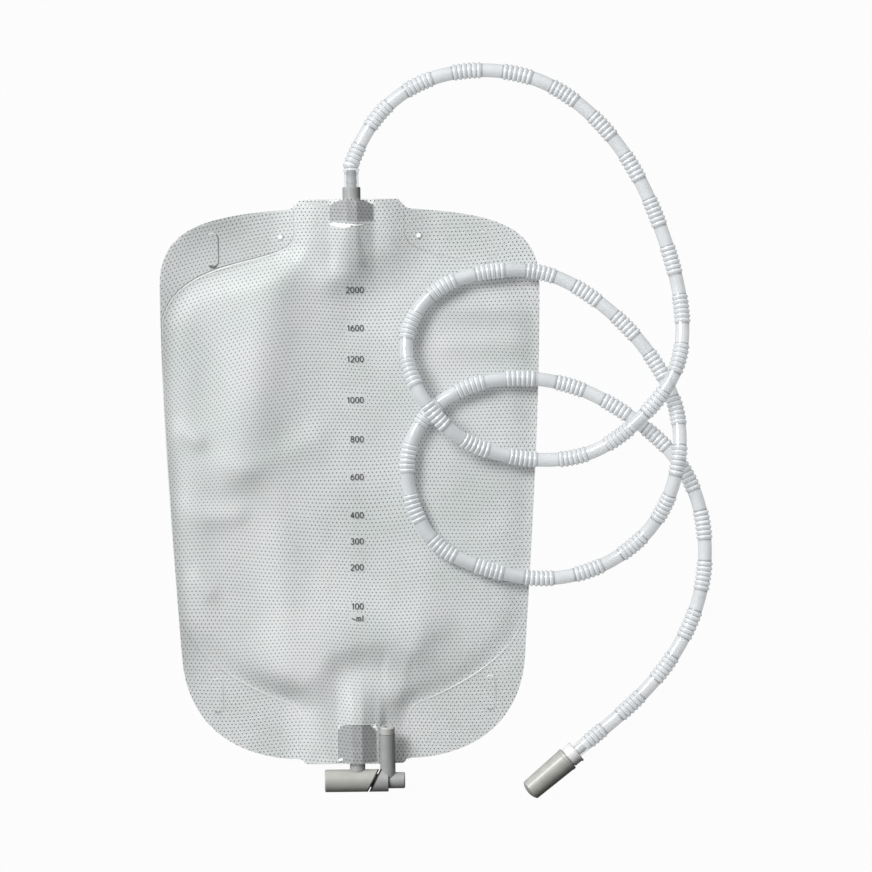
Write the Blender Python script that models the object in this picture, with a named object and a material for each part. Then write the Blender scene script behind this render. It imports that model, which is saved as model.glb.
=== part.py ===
"""Urine drainage bag, empty, lying on its back with its drainage tube looped over it.

Two clear films are welded round their edges into a chamber. A port is welded into each
end: the inlet carries the tube, the outlet carries a tap whose spout turns to open it.
Metres. +Y runs towards the inlet, +Z up from the surface that the bag lies on. The
origin is on that surface, in the middle of the bag and its valves.
"""

import math

import bmesh
import bpy
import numpy as np
from mathutils import Matrix, Vector

# Clearances
GAP = 0.0003
PORT_MARGIN = 0.0006

# Bag films
FILM = 0.0003
BAG_LENGTH = 0.3200
BAG_WIDTH = 0.2152
FOOT_WIDTH = 0.1946
SHOULDER_DROP = 0.0477
FOOT_RISE = 0.0616
TAB_WIDTH = 0.0572
TOP_TAB_HEIGHT = 0.0057
BOTTOM_TAB_HEIGHT = 0.0029
TAB_FLARE = 0.0090
BOTTOM_TAB_FLARE = 0.0080
COARSE_CELL = 0.0170

# Weld seam that bounds the chamber
SIDE_WELD = 0.0017
NECK_WIDTH = 0.0604
TOP_WELD_DROP = 0.0335
TOP_WELD_REACH = 0.0528
TOP_WELD_SIDE = 0.0680
BOTTOM_WELD_RISE = 0.0366
BOTTOM_WELD_REACH = 0.0417
BOTTOM_WELD_SIDE = 0.0860
CHAMBER_LEFT = 0.0040
CHAMBER_RIGHT = 0.0021
CHAMBER_SLOPE = 0.0100
PRESSED_FROM = -0.030
PRESSED_TO = 0.022

# Hanging slots, cut on three sides, and the pin holes
SLOT_X = 0.0773
SLOT_LENGTH = 0.0193
SLOT_WIDTH = 0.0060
SLOT_CUT = 0.0004
TOP_SLOT_DROP = 0.0281
BOTTOM_SLOT_RISE = 0.0393
PIN_HOLE = 0.0036
PIN_HOLE_X = 0.0393
PIN_HOLE_DROP = 0.0207

# Ports, shaped like a boat in section so that the films close round them
PORT_X = 0.0016
PORT_THICKNESS = 0.0110
PORT_RIDGE = 0.0056
PORT_EDGE = 0.0008
INLET_WIDTH = 0.0250
INLET_LENGTH = 0.0120
INLET_ARCH = 0.0028
OUTLET_WIDTH = 0.0221
OUTLET_LENGTH = 0.0212
OUTLET_CHAMFER = 0.0036
TAB_OVERLAP = 0.0007

# Inlet stem, the barbed spigot inside the tube, and the nozzle inside the bag
INLET_STEM_DIAMETER = 0.0102
INLET_STEM_LENGTH = 0.0068
SPIGOT_DIAMETER = 0.0056
SPIGOT_LENGTH = 0.0096
BARB = 0.0003
SPIGOT_BORE = 0.0036
NOZZLE_DIAMETER = 0.0080
NOZZLE_LENGTH = 0.0050
NOZZLE_BORE = 0.0052

# Non-return valve, a sleeve of film that hangs from the nozzle and lies flat
SLEEVE_LENGTH = 0.0260
SLEEVE_WIDTH = 0.0170
SLEEVE_SLIT = 0.0005
SLEEVE_END_HEIGHT = 0.0024

# Tap barrel
BARREL_DIAMETER = 0.0128
BARREL_BORE = 0.0094
BARREL_LEFT = 0.0186
BARREL_RIGHT = 0.0122
BARREL_WALL = 0.0016
BARREL_ROUND = 0.0007
OUTLET_STEM_DIAMETER = 0.0087
OUTLET_STEM_LENGTH = 0.0031
OUTLET_NIPPLE = 0.0046
OUTLET_BORE = 0.0034
CAM_RISE = 0.0066
CAM_SLIT = 0.00077
SEAL_SECTION = 0.0010
SEAL_PLACE = 0.00355

# Plunger inside the barrel
PLUNGER_DIAMETER = 0.0074
PLUNGER_BORE = 0.0048
PLUNGER_LEFT = 0.0126
PLUNGER_END_WALL = 0.0012
PLUNGER_WINDOW = 0.0026
PLUNGER_WINDOW_X = -0.0075
BEAD_HEIGHT = 0.0005
BEAD_WIDTH = 0.0008
BEAD_X = 0.0139

# Rotor with its spout
ROTOR_SLEEVE_END = 0.0174
ROTOR_END = 0.0268
STUB_DIAMETER = 0.0092
STUB_BORE = 0.0060
ROTOR_END_WALL = 0.0012
SPOUT_X = 0.0171
SPOUT_DIAMETER = 0.0087
SPOUT_BORE = 0.0036
SPOUT_LENGTH = 0.0274
SPOUT_TILT = math.radians(13.0)
TIP_LENGTH = 0.0038
TIP_DIAMETER = 0.0083
TIP_PLUG_LENGTH = 0.0030
TIP_PLUG_DIAMETER = 0.0060

# Drainage tube
TUBE_DIAMETER = 0.0093
TUBE_SPACING = 0.0230
TUBE_STRAIGHT = 0.0030
TUBE_SIDES = 3

# Tube connector and its cap
CONNECTOR_END = Vector((0.1257, -0.1541, 0.0))
CONNECTOR_AXIS = Vector((-0.770, -0.638, 0.0)).normalized()
COLLAR_DIAMETER = 0.0121
COLLAR_LENGTH = 0.0059
COLLAR_RIM_DIAMETER = 0.0132
COLLAR_RIM_LENGTH = 0.0013
CONNECTOR_SPIGOT = 0.0054
NOSE_BASE_DIAMETER = 0.0104
NOSE_BASE_LENGTH = 0.0040
NOSE_DIAMETER = 0.0084
NOSE_TIP_DIAMETER = 0.0058
NOSE_LENGTH = 0.0240
NOSE_GROOVES = 3
CAP_MOUTH_DIAMETER = 0.0140
CAP_TIP_DIAMETER = 0.0122
CAP_LENGTH = 0.0299
CAP_WALL = 0.0013
CAP_ROUND = 0.0005
CAP_DOME = 0.0016

# Heights and places that follow from the sizes above
AXIS_Z = max(BARREL_DIAMETER / 2, PORT_THICKNESS / 2 + GAP + FILM)
TOP_REACH = INLET_STEM_LENGTH + SPIGOT_LENGTH
BOTTOM_REACH = OUTLET_STEM_LENGTH + BARREL_DIAMETER
BAG_Y = (BOTTOM_REACH - TOP_REACH) / 2
TAB_TOP = BAG_Y + BAG_LENGTH / 2
TAB_BOTTOM = BAG_Y - BAG_LENGTH / 2
BARREL_Y = TAB_BOTTOM - OUTLET_STEM_LENGTH - BARREL_DIAMETER / 2
SPIGOT_TIP_Y = TAB_TOP + TOP_REACH
CAP_Z = CAP_MOUTH_DIAMETER / 2 + 0.00005
FLANGE_TOP = 2 * FILM + GAP

# Underside of the tube: on the surface, on the bag, and passing over itself
FLOOR = 0.00005
ON_EDGE = FLANGE_TOP + 0.0006
ON_BAG = FLANGE_TOP + CHAMBER_RIGHT + 0.0004
OVER_TUBE = TUBE_DIAMETER + 0.0004

# Route of the tube, chosen by hand: x, y and the height of its underside
ROUTE = (
    (0.0061, 0.1895, 0.0010),
    (0.0188, 0.2087, FLOOR),
    (0.0411, 0.2249, FLOOR),
    (0.0752, 0.2320, FLOOR),
    (0.1098, 0.2253, FLOOR),
    (0.1396, 0.2045, FLOOR),
    (0.1609, 0.1765, FLOOR),
    (0.1781, 0.1371, 0.0004),
    (0.1878, 0.0939, 0.0045),
    (0.1835, 0.0605, OVER_TUBE + 0.0023),
    (0.1639, 0.0340, OVER_TUBE + 0.0007),
    (0.1330, 0.0139, 0.0040),
    (0.0955, 0.0120, ON_BAG - 0.0002),
    (0.0627, 0.0234, OVER_TUBE + 0.0007),
    (0.0386, 0.0501, OVER_TUBE + 0.0039),
    (0.0322, 0.0814, 0.0046),
    (0.0466, 0.1053, ON_BAG),
    (0.0774, 0.1175, ON_BAG - 0.0008),
    (0.1109, 0.1163, ON_EDGE),
    (0.1430, 0.0983, FLOOR),
    (0.1699, 0.0694, 0.0004),
    (0.1844, 0.0372, 0.0046),
    (0.1843, 0.0065, OVER_TUBE + 0.0013),
    (0.1712, -0.0254, 0.0024),
    (0.1443, -0.0478, FLOOR),
    (0.1113, -0.0563, ON_EDGE),
    (0.0778, -0.0511, ON_BAG),
    (0.0479, -0.0360, ON_BAG),
    (0.0326, -0.0063, ON_BAG),
    (0.0361, 0.0271, ON_BAG),
    (0.0602, 0.0499, ON_BAG),
    (0.0926, 0.0572, ON_BAG - 0.0004),
    (0.1272, 0.0517, 0.0003),
    (0.1599, 0.0335, FLOOR),
    (0.1869, 0.0065, FLOOR),
    (0.1995, -0.0339, FLOOR),
    (0.1951, -0.0714, FLOOR),
    (0.1731, -0.1114, FLOOR),
)


def clear_scene():
    """Remove whatever the scene holds."""
    for obj in list(bpy.data.objects):
        bpy.data.objects.remove(obj, do_unlink=True)


def material(name, colour, roughness, alpha=1.0):
    """A plastic of one colour, see-through where alpha is under 1."""
    made = bpy.data.materials.new(name)
    made.use_nodes = True
    shader = made.node_tree.nodes["Principled BSDF"]
    shader.inputs["Base Color"].default_value = (*colour, 1.0)
    shader.inputs["Roughness"].default_value = roughness
    shader.inputs["Metallic"].default_value = 0.0
    shader.inputs["Alpha"].default_value = alpha
    made.diffuse_color = (*colour, alpha)
    return made


def add_object(name, bm, finish, origin=(0.0, 0.0, 0.0)):
    """Turn a bmesh into a named, smooth-shaded object with its origin at a point."""
    mesh = bpy.data.meshes.new(name)
    bmesh.ops.recalc_face_normals(bm, faces=bm.faces)
    bmesh.ops.translate(bm, verts=bm.verts, vec=-Vector(origin))
    bm.to_mesh(mesh)
    bm.free()
    if finish is not None:
        mesh.materials.append(finish)
    mesh.shade_smooth()
    mesh.set_sharp_from_angle(angle=math.radians(35.0))
    obj = bpy.data.objects.new(name, mesh)
    obj.location = origin
    bpy.context.scene.collection.objects.link(obj)
    return obj


def add_helper(name, bm):
    """An object that only cuts or joins others."""
    obj = add_object(name, bm, None)
    obj.hide_render = True
    obj.display_type = "WIRE"
    return obj


def combine(obj, other, operation):
    """Add a Boolean modifier that keeps the exact solver."""
    modifier = obj.modifiers.new(other.name, "BOOLEAN")
    modifier.operation = operation
    modifier.object = other
    modifier.solver = "EXACT"


def along(start, direction):
    """Matrix that carries +Z onto a direction and the origin onto a start point."""
    turn = Vector(direction).to_track_quat("Z", "Y").to_matrix().to_4x4()
    return Matrix.Translation(start) @ turn


def turned(profile, place, segments=32):
    """Spin a profile of (radius, height) points round +Z, then place it.

    A profile that starts and ends on the axis gives a solid. One that ends where it
    starts gives a ring.
    """
    bm = bmesh.new()
    closed = profile[0] == profile[-1]
    points = profile[:-1] if closed else profile
    verts = [bm.verts.new((radius, 0.0, height)) for radius, height in points]
    pairs = list(zip(verts, verts[1:]))
    if closed:
        pairs.append((verts[-1], verts[0]))
    edges = [bm.edges.new(pair) for pair in pairs]
    bmesh.ops.spin(
        bm,
        geom=verts + edges,
        cent=(0.0, 0.0, 0.0),
        axis=(0.0, 0.0, 1.0),
        angle=math.tau,
        steps=segments,
        use_merge=True,
    )
    bmesh.ops.remove_doubles(bm, verts=bm.verts, dist=1e-6)
    bmesh.ops.transform(bm, matrix=place, verts=bm.verts)
    return bm


def rod(diameter, low, high, place, segments=32):
    """A plain round rod between two heights of its own axis."""
    radius = diameter / 2
    profile = [(0.0, low), (radius, low), (radius, high), (0.0, high)]
    return turned(profile, place, segments)


def prism(points, low, high, place=None):
    """Extrude an outline of (x, y) points from one height to another."""
    bm = bmesh.new()
    face = bm.faces.new([bm.verts.new((x, y, low)) for x, y in points])
    raised = bmesh.ops.extrude_face_region(bm, geom=[face])["geom"]
    moved = [item for item in raised if isinstance(item, bmesh.types.BMVert)]
    bmesh.ops.translate(bm, verts=moved, vec=(0.0, 0.0, high - low))
    if place is not None:
        bmesh.ops.transform(bm, matrix=place, verts=bm.verts)
    return bm


def bezier(start, first, second, end, steps):
    """Points along a cubic curve, without its end."""
    t = np.linspace(0.0, 1.0, steps, endpoint=False)[:, None]
    start, first, second, end = (np.array(p) for p in (start, first, second, end))
    points = (
        (1 - t) ** 3 * start
        + 3 * (1 - t) ** 2 * t * first
        + 3 * (1 - t) * t**2 * second
        + t**3 * end
    )
    return [tuple(point) for point in points]


def mirrored(half):
    """Close a right-hand half outline, bottom to top, with its mirror image."""
    left = [(-x, y) for x, y in reversed(half) if x > 0.0]
    return half + left


def bag_outline():
    """Edge of the die-cut films."""
    tab = TAB_WIDTH / 2
    foot = (FOOT_WIDTH / 2, TAB_BOTTOM + FOOT_RISE)
    shoulder = (BAG_WIDTH / 2, TAB_TOP - SHOULDER_DROP)
    foot_root = (tab + BOTTOM_TAB_FLARE, TAB_BOTTOM + BOTTOM_TAB_HEIGHT)
    top_root = (tab + TAB_FLARE, TAB_TOP - TOP_TAB_HEIGHT)
    taper = (BAG_WIDTH - FOOT_WIDTH) / 2
    half = [(tab - 0.0015, TAB_BOTTOM), (tab, TAB_BOTTOM + 0.0008)]
    half += bezier(
        (tab + 0.0006, TAB_BOTTOM + BOTTOM_TAB_HEIGHT * 0.7),
        (tab + 0.0020, foot_root[1]),
        (tab + 0.0040, foot_root[1]),
        foot_root,
        3,
    )
    half += bezier(
        foot_root,
        (foot_root[0] + 0.0285, foot_root[1] + 0.0022),
        (foot[0] - 0.0023, foot[1] - 0.0416),
        foot,
        9,
    )
    half += bezier(
        foot,
        (foot[0] + taper * 0.45, foot[1] + 0.070),
        (shoulder[0], shoulder[1] - 0.060),
        shoulder,
        6,
    )
    half += bezier(
        shoulder,
        (shoulder[0], shoulder[1] + 0.0300),
        (top_root[0] + 0.0480, top_root[1] - 0.0033),
        top_root,
        9,
    )
    half += bezier(
        top_root,
        (top_root[0] - 0.0045, top_root[1]),
        (tab + 0.0025, top_root[1] + 0.0012),
        (tab, TAB_TOP - 0.0006),
        4,
    )
    half += [(tab, TAB_TOP - 0.0006), (tab - 0.0008, TAB_TOP)]
    return mirrored(half)


def chamber_outline():
    """Inner edge of the weld, which narrows to a neck round each port."""
    neck = NECK_WIDTH / 2
    side_low = (FOOT_WIDTH / 2 + 0.0020 - SIDE_WELD, TAB_BOTTOM + BOTTOM_WELD_SIDE)
    side_high = (BAG_WIDTH / 2 - SIDE_WELD, TAB_TOP - TOP_WELD_SIDE)
    low = (BOTTOM_WELD_REACH, TAB_BOTTOM + BOTTOM_WELD_RISE)
    high = (TOP_WELD_REACH, TAB_TOP - TOP_WELD_DROP)
    half = [(neck, TAB_BOTTOM)]
    half += bezier(
        (neck, low[1] - 0.0120), (neck, low[1] - 0.0045), (low[0] - 0.006, low[1] - 0.0022), low, 4
    )
    half += bezier(
        low, (low[0] + 0.020, low[1] + 0.008), (side_low[0] - 0.004, side_low[1] - 0.024), side_low, 8
    )
    half += bezier(
        side_low,
        (side_low[0] + 0.0040, side_low[1] + 0.050),
        (side_high[0], side_high[1] - 0.050),
        side_high,
        5,
    )
    half += bezier(
        side_high, (side_high[0] - 0.005, side_high[1] + 0.023), (high[0] + 0.022, high[1] - 0.005), high, 8
    )
    half += bezier(
        high, (high[0] - 0.0150, high[1] + 0.0040), (neck, high[1] + 0.0065), (neck, high[1] + 0.0155), 4
    )
    half += [(neck, high[1] + 0.0155), (neck, TAB_TOP)]
    return mirrored(half)


def depth_inside(outline, x, y):
    """Distance of each point to an outline, positive inside it and zero outside."""
    corners = np.array(outline)
    ends = np.roll(corners, -1, axis=0)
    nearest = np.full(x.shape, np.inf)
    inside = np.zeros(x.shape, bool)
    for (ax, ay), (bx, by) in zip(corners, ends):
        dx = bx - ax
        dy = by - ay
        share = np.clip(((x - ax) * dx + (y - ay) * dy) / (dx * dx + dy * dy), 0.0, 1.0)
        nearest = np.minimum(nearest, np.hypot(x - ax - share * dx, y - ay - share * dy))
        if dy != 0.0:
            crosses = ((ay > y) != (by > y)) & (x < ax + (y - ay) * dx / dy)
            inside ^= crosses
    return np.where(inside, nearest, 0.0)


class PortSeat:
    """Where a port holds the films apart, and how far round it they stay lifted."""

    def __init__(self, width, low, high, fall_left, fall_right, fall_end):
        """Take the port's width, its ends along Y and the fall on each side."""
        self.half = width / 2
        self.low = low
        self.high = high
        self.fall_left = fall_left
        self.fall_right = fall_right
        self.fall_end = fall_end

    def thickness(self, x):
        """Half thickness of the port at a distance from its middle."""
        ridge = PORT_RIDGE / 2
        edge = PORT_EDGE / 2
        share = np.clip((np.abs(x - PORT_X) - ridge) / (self.half - ridge), 0.0, 1.0)
        return PORT_THICKNESS / 2 + share * (edge - PORT_THICKNESS / 2)

    def lift(self, x, y):
        """1 at the port, falling smoothly to 0 away from it."""
        reach = self.half + PORT_MARGIN
        left = (PORT_X - reach - x) / self.fall_left
        right = (x - PORT_X - reach) / self.fall_right
        across = np.maximum(np.maximum(left, right), 0.0)
        over = np.maximum(y - self.high, self.low - y) - PORT_MARGIN
        ends = np.maximum(over, 0.0) / self.fall_end
        return 0.5 * (1.0 + np.cos(np.pi * np.minimum(np.hypot(across, ends), 1.0)))

    def lines_x(self):
        """Grid lines that the films need across this port."""
        reach = self.half + PORT_MARGIN
        steps = [0.0, PORT_RIDGE / 2, self.half, reach]
        right = [reach + self.fall_right * share for share in (0.3, 0.6, 1.0)]
        left = [reach + self.fall_left * share for share in (0.2, 0.45, 0.7, 1.0)]
        offsets = steps + right + [-step for step in steps[1:] + left]
        return [PORT_X + offset for offset in offsets]

    def lines_y(self):
        """Grid lines that the films need along this port."""
        reach = [self.fall_end * share for share in (0.0, 0.2, 0.4, 0.65, 1.0)]
        return [self.low - PORT_MARGIN - step for step in reach] + [
            self.high + PORT_MARGIN + step for step in reach
        ]


INLET_SEAT = PortSeat(
    INLET_WIDTH,
    TAB_TOP - TAB_OVERLAP - INLET_LENGTH - NOZZLE_LENGTH,
    TAB_TOP,
    fall_left=0.034,
    fall_right=0.034,
    fall_end=0.040,
)
OUTLET_SEAT = PortSeat(
    OUTLET_WIDTH,
    TAB_BOTTOM,
    TAB_BOTTOM + TAB_OVERLAP + OUTLET_LENGTH,
    fall_left=0.032,
    fall_right=0.0050,
    fall_end=0.034,
)
SEATS = (INLET_SEAT, OUTLET_SEAT)


def back_top(x, y):
    """Upper face of the back film: flat on the surface, cupped under the ports."""
    height = np.full(x.shape, FILM)
    for seat in SEATS:
        cup = AXIS_Z - seat.thickness(x) - GAP - FILM
        height = height + seat.lift(x, y) * cup
    return height


def chamber_height(x, y):
    """How far the front film stands off the back film inside the weld."""
    depth = depth_inside(chamber_outline(), x, y)
    share = np.clip((x - PRESSED_FROM) / (PRESSED_TO - PRESSED_FROM), 0.0, 1.0)
    pressed = share * share * (3.0 - 2.0 * share)
    full = CHAMBER_LEFT + pressed * (CHAMBER_RIGHT - CHAMBER_LEFT)
    return full * (1.0 - np.exp(-((depth / CHAMBER_SLOPE) ** 2)))


def front_bottom(x, y):
    """Lower face of the front film, clear of the back film and over the ports."""
    height = back_top(x, y) + GAP
    free = np.ones(x.shape)
    for seat in SEATS:
        height = height + seat.lift(x, y) * (2.0 * seat.thickness(x) + GAP)
        free = free - seat.lift(x, y)
    return height + free * chamber_height(x, y)


def filled(lines, low, high, spacing):
    """Sort grid lines, drop near doubles and add lines where they lie far apart."""
    kept = []
    for line in sorted([*lines, low, high]):
        if low <= line <= high and (not kept or line - kept[-1] > 0.0012):
            kept.append(line)
    every = []
    for start, end in zip(kept, kept[1:]):
        count = max(1, round((end - start) / spacing))
        every += list(np.linspace(start, end, count, endpoint=False))
    return every[1:]


def film(name, finish, lower_face):
    """One sheet: the bag outline cut into a grid, shaped and given its thickness."""
    bm = bmesh.new()
    bm.faces.new([bm.verts.new((x, y, 0.0)) for x, y in bag_outline()])
    x_lines = INLET_SEAT.lines_x() + OUTLET_SEAT.lines_x()
    y_lines = INLET_SEAT.lines_y() + OUTLET_SEAT.lines_y()
    half = BAG_WIDTH / 2
    edge = SIDE_WELD + CHAMBER_SLOPE
    x_lines += [half - edge, edge - half]
    for normal, lines in (
        ((1.0, 0.0, 0.0), filled(x_lines, -half, half, COARSE_CELL)),
        ((0.0, 1.0, 0.0), filled(y_lines, TAB_BOTTOM, TAB_TOP, COARSE_CELL)),
    ):
        for line in lines:
            bmesh.ops.bisect_plane(
                bm,
                geom=[*bm.verts, *bm.edges, *bm.faces],
                plane_co=Vector(normal) * line,
                plane_no=normal,
                dist=1e-7,
            )
    bmesh.ops.triangulate(bm, faces=bm.faces)
    x = np.array([vert.co.x for vert in bm.verts])
    y = np.array([vert.co.y for vert in bm.verts])
    for vert, height in zip(bm.verts, lower_face(x, y)):
        vert.co.z = height
    raised = bmesh.ops.extrude_face_region(bm, geom=list(bm.faces))["geom"]
    moved = [item for item in raised if isinstance(item, bmesh.types.BMVert)]
    bmesh.ops.translate(bm, verts=moved, vec=(0.0, 0.0, FILM))
    return add_object(name, bm, finish)


def slot_cut(x, y):
    """Outline of a cut along the ends and the right side of one hanging slot."""
    middle = SLOT_WIDTH / 2
    straight = SLOT_LENGTH / 2 - middle
    turns = [math.radians(angle) for angle in (130, 90, 45, 0)]
    points = []
    for radius, order in ((middle + SLOT_CUT / 2, 1), (middle - SLOT_CUT / 2, -1)):
        arc = [(radius * math.cos(a), straight + radius * math.sin(a)) for a in turns]
        arc += [(u, -v) for u, v in reversed(arc)]
        points += arc[::order]
    return [(x + u, y + v) for u, v in points]


def film_cutter():
    """Slots and pin holes as one helper that passes through both films."""
    reach = 0.003
    tool = bmesh.new()
    pieces = []
    for y in (TAB_TOP - TOP_SLOT_DROP, TAB_BOTTOM + BOTTOM_SLOT_RISE):
        for side in (-1, 1):
            pieces.append(prism(slot_cut(side * SLOT_X, y), -reach, reach))
    for side in (-1, 1):
        place = Matrix.Translation((side * PIN_HOLE_X, TAB_TOP - PIN_HOLE_DROP, 0.0))
        pieces.append(rod(PIN_HOLE, -reach, reach, place, 12))
    for piece in pieces:
        mesh = bpy.data.meshes.new("film_cut")
        piece.to_mesh(mesh)
        piece.free()
        tool.from_mesh(mesh)
        bpy.data.meshes.remove(mesh)
    return add_helper("film_cutter", tool)


def port_block(name, finish, plan, seat):
    """A port's welded block: its plan cut out of its boat section."""
    half = PORT_THICKNESS / 2
    edge = PORT_EDGE / 2
    ridge = PORT_RIDGE / 2
    section = [(ridge, half), (-ridge, half), (-seat.half, edge), (-seat.half, -edge)]
    section += [(-ridge, -half), (ridge, -half), (seat.half, -edge), (seat.half, edge)]
    low = min(y for _, y in plan) - 0.001
    high = max(y for _, y in plan) + 0.001
    place = along((PORT_X, 0.0, AXIS_Z), (0.0, 1.0, 0.0))
    flat = Matrix.Rotation(math.pi, 4, "Z")
    block = add_object(name, prism(section, low, high, place @ flat), finish)
    cutter = prism(plan, -PORT_THICKNESS, PORT_THICKNESS)
    bmesh.ops.translate(cutter, verts=cutter.verts, vec=(PORT_X, 0.0, AXIS_Z))
    combine(block, add_helper(f"{name}_plan", cutter), "INTERSECT")
    return block


def inlet_port(finish):
    """Block, stem, barbed spigot and the nozzle that carries the non-return valve."""
    half = INLET_WIDTH / 2
    top = TAB_TOP - TAB_OVERLAP
    low = top - INLET_LENGTH
    stem = INLET_STEM_DIAMETER / 2
    plan = [(-half, low), (half, low), (half, top - INLET_ARCH), (stem + 0.002, top)]
    plan += [(-stem - 0.002, top), (-half, top - INLET_ARCH)]
    port = port_block("inlet_port", finish, plan, INLET_SEAT)
    spigot = SPIGOT_DIAMETER / 2
    shoulder = TAB_TOP + INLET_STEM_LENGTH
    profile = [(0.0, low - NOZZLE_LENGTH), (NOZZLE_DIAMETER / 2, low - NOZZLE_LENGTH)]
    profile += [(NOZZLE_DIAMETER / 2, low + 0.001), (stem, low + 0.001)]
    profile += [(stem, shoulder - 0.0004), (stem - 0.0004, shoulder), (spigot, shoulder)]
    profile += [(spigot, shoulder + 0.0020), (spigot + BARB, shoulder + 0.0022)]
    profile += [(spigot, shoulder + 0.0046), (spigot, SPIGOT_TIP_Y - 0.0030)]
    profile += [(spigot + BARB, SPIGOT_TIP_Y - 0.0028), (spigot - BARB, SPIGOT_TIP_Y)]
    profile += [(0.0, SPIGOT_TIP_Y)]
    place = along((PORT_X, 0.0, AXIS_Z), (0.0, 1.0, 0.0))
    combine(port, add_helper("inlet_stem", turned(profile, place)), "UNION")
    step = top - INLET_LENGTH / 2
    bore = [(0.0, low - NOZZLE_LENGTH - 0.001), (NOZZLE_BORE / 2, low - NOZZLE_LENGTH - 0.001)]
    bore += [(NOZZLE_BORE / 2, step), (SPIGOT_BORE / 2, step + 0.001)]
    bore += [(SPIGOT_BORE / 2, SPIGOT_TIP_Y + 0.001), (0.0, SPIGOT_TIP_Y + 0.001)]
    combine(port, add_helper("inlet_bore", turned(bore, place, 20)), "DIFFERENCE")
    return port


def outlet_port(finish):
    """Block, stem saddled on the tap barrel, and the nipple through the barrel's wall."""
    half = OUTLET_WIDTH / 2
    low = TAB_BOTTOM + TAB_OVERLAP
    high = low + OUTLET_LENGTH
    chamfer = OUTLET_CHAMFER
    plan = [(-half, low), (half, low), (half, high - chamfer), (half - chamfer, high)]
    plan += [(chamfer * 0.8 - half, high), (-half, high - chamfer * 0.8)]
    port = port_block("outlet_port", finish, plan, OUTLET_SEAT)
    place = along((PORT_X, 0.0, AXIS_Z), (0.0, 1.0, 0.0))
    stem = rod(OUTLET_STEM_DIAMETER, BARREL_Y, low + 0.001, place)
    combine(port, add_helper("outlet_stem", stem), "UNION")
    across = along((PORT_X, BARREL_Y, AXIS_Z), (1.0, 0.0, 0.0))
    reach = OUTLET_STEM_DIAMETER
    saddle = rod(BARREL_DIAMETER + 2 * GAP, -reach, reach, across, 48)
    combine(port, add_helper("outlet_saddle", saddle), "DIFFERENCE")
    inner = BARREL_Y + BARREL_BORE / 2 + GAP
    nipple = rod(OUTLET_NIPPLE, inner, low + 0.001, place, 20)
    combine(port, add_helper("outlet_nipple", nipple), "UNION")
    bore = rod(OUTLET_BORE, BARREL_Y, high + 0.001, place, 16)
    combine(port, add_helper("outlet_bore", bore), "DIFFERENCE")
    return port


def non_return_valve(finish):
    """Sleeve of film, round where it grips the nozzle and flat at its free end."""
    start = TAB_TOP - TAB_OVERLAP - INLET_LENGTH - GAP
    collar = NOZZLE_DIAMETER / 2 + GAP
    steps = (0.0, 0.19, 0.34, 0.5, 0.68, 0.84, 1.0)
    count = 24
    bm = bmesh.new()
    loops = []
    for wall in (FILM, 0.0):
        rings = []
        for step in steps:
            flat = max(0.0, (step - 0.19) / 0.81)
            flat = flat * flat * (3.0 - 2.0 * flat)
            wide = collar + flat * (SLEEVE_WIDTH / 2 - collar) + wall
            thick = collar + flat * (SLEEVE_SLIT / 2 - collar) + wall
            centre = AXIS_Z + flat * (SLEEVE_END_HEIGHT - AXIS_Z)
            y = start - step * SLEEVE_LENGTH
            ring = []
            for index in range(count):
                angle = math.tau * index / count
                x = PORT_X + wide * math.cos(angle)
                ring.append(bm.verts.new((x, y, centre + thick * math.sin(angle))))
            rings.append(ring)
        loops.append(rings)
    outer, inner = loops
    bands = list(zip(outer, outer[1:])) + list(zip(inner, inner[1:]))
    bands += [(outer[0], inner[0]), (outer[-1], inner[-1])]
    for first, second in bands:
        for index in range(count):
            after = (index + 1) % count
            bm.faces.new((first[index], first[after], second[after], second[index]))
    return add_object("non_return_valve", bm, finish)


def cam_plane(name, offset, keep_right):
    """Helper that fills one side of the slanting cut between barrel and rotor."""
    size = 0.040
    radius = BARREL_DIAMETER / 2
    lean = math.atan2(CAM_RISE, BARREL_DIAMETER)
    bm = bmesh.new()
    bmesh.ops.create_cube(bm, size=size)
    side = -size / 2 if keep_right else size / 2
    bmesh.ops.translate(bm, verts=bm.verts, vec=(side, 0.0, 0.0))
    bmesh.ops.rotate(bm, verts=bm.verts, cent=(0, 0, 0), matrix=Matrix.Rotation(-lean, 3, "Z"))
    middle = PORT_X + BARREL_RIGHT - radius * math.tan(lean) + offset
    bmesh.ops.translate(bm, verts=bm.verts, vec=(middle, BARREL_Y, AXIS_Z))
    return add_helper(name, bm)


def barrel_place():
    """Matrix of the tap's axis, with height measured along +X from the outlet stem."""
    return along((PORT_X, BARREL_Y, AXIS_Z), (1.0, 0.0, 0.0))


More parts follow.
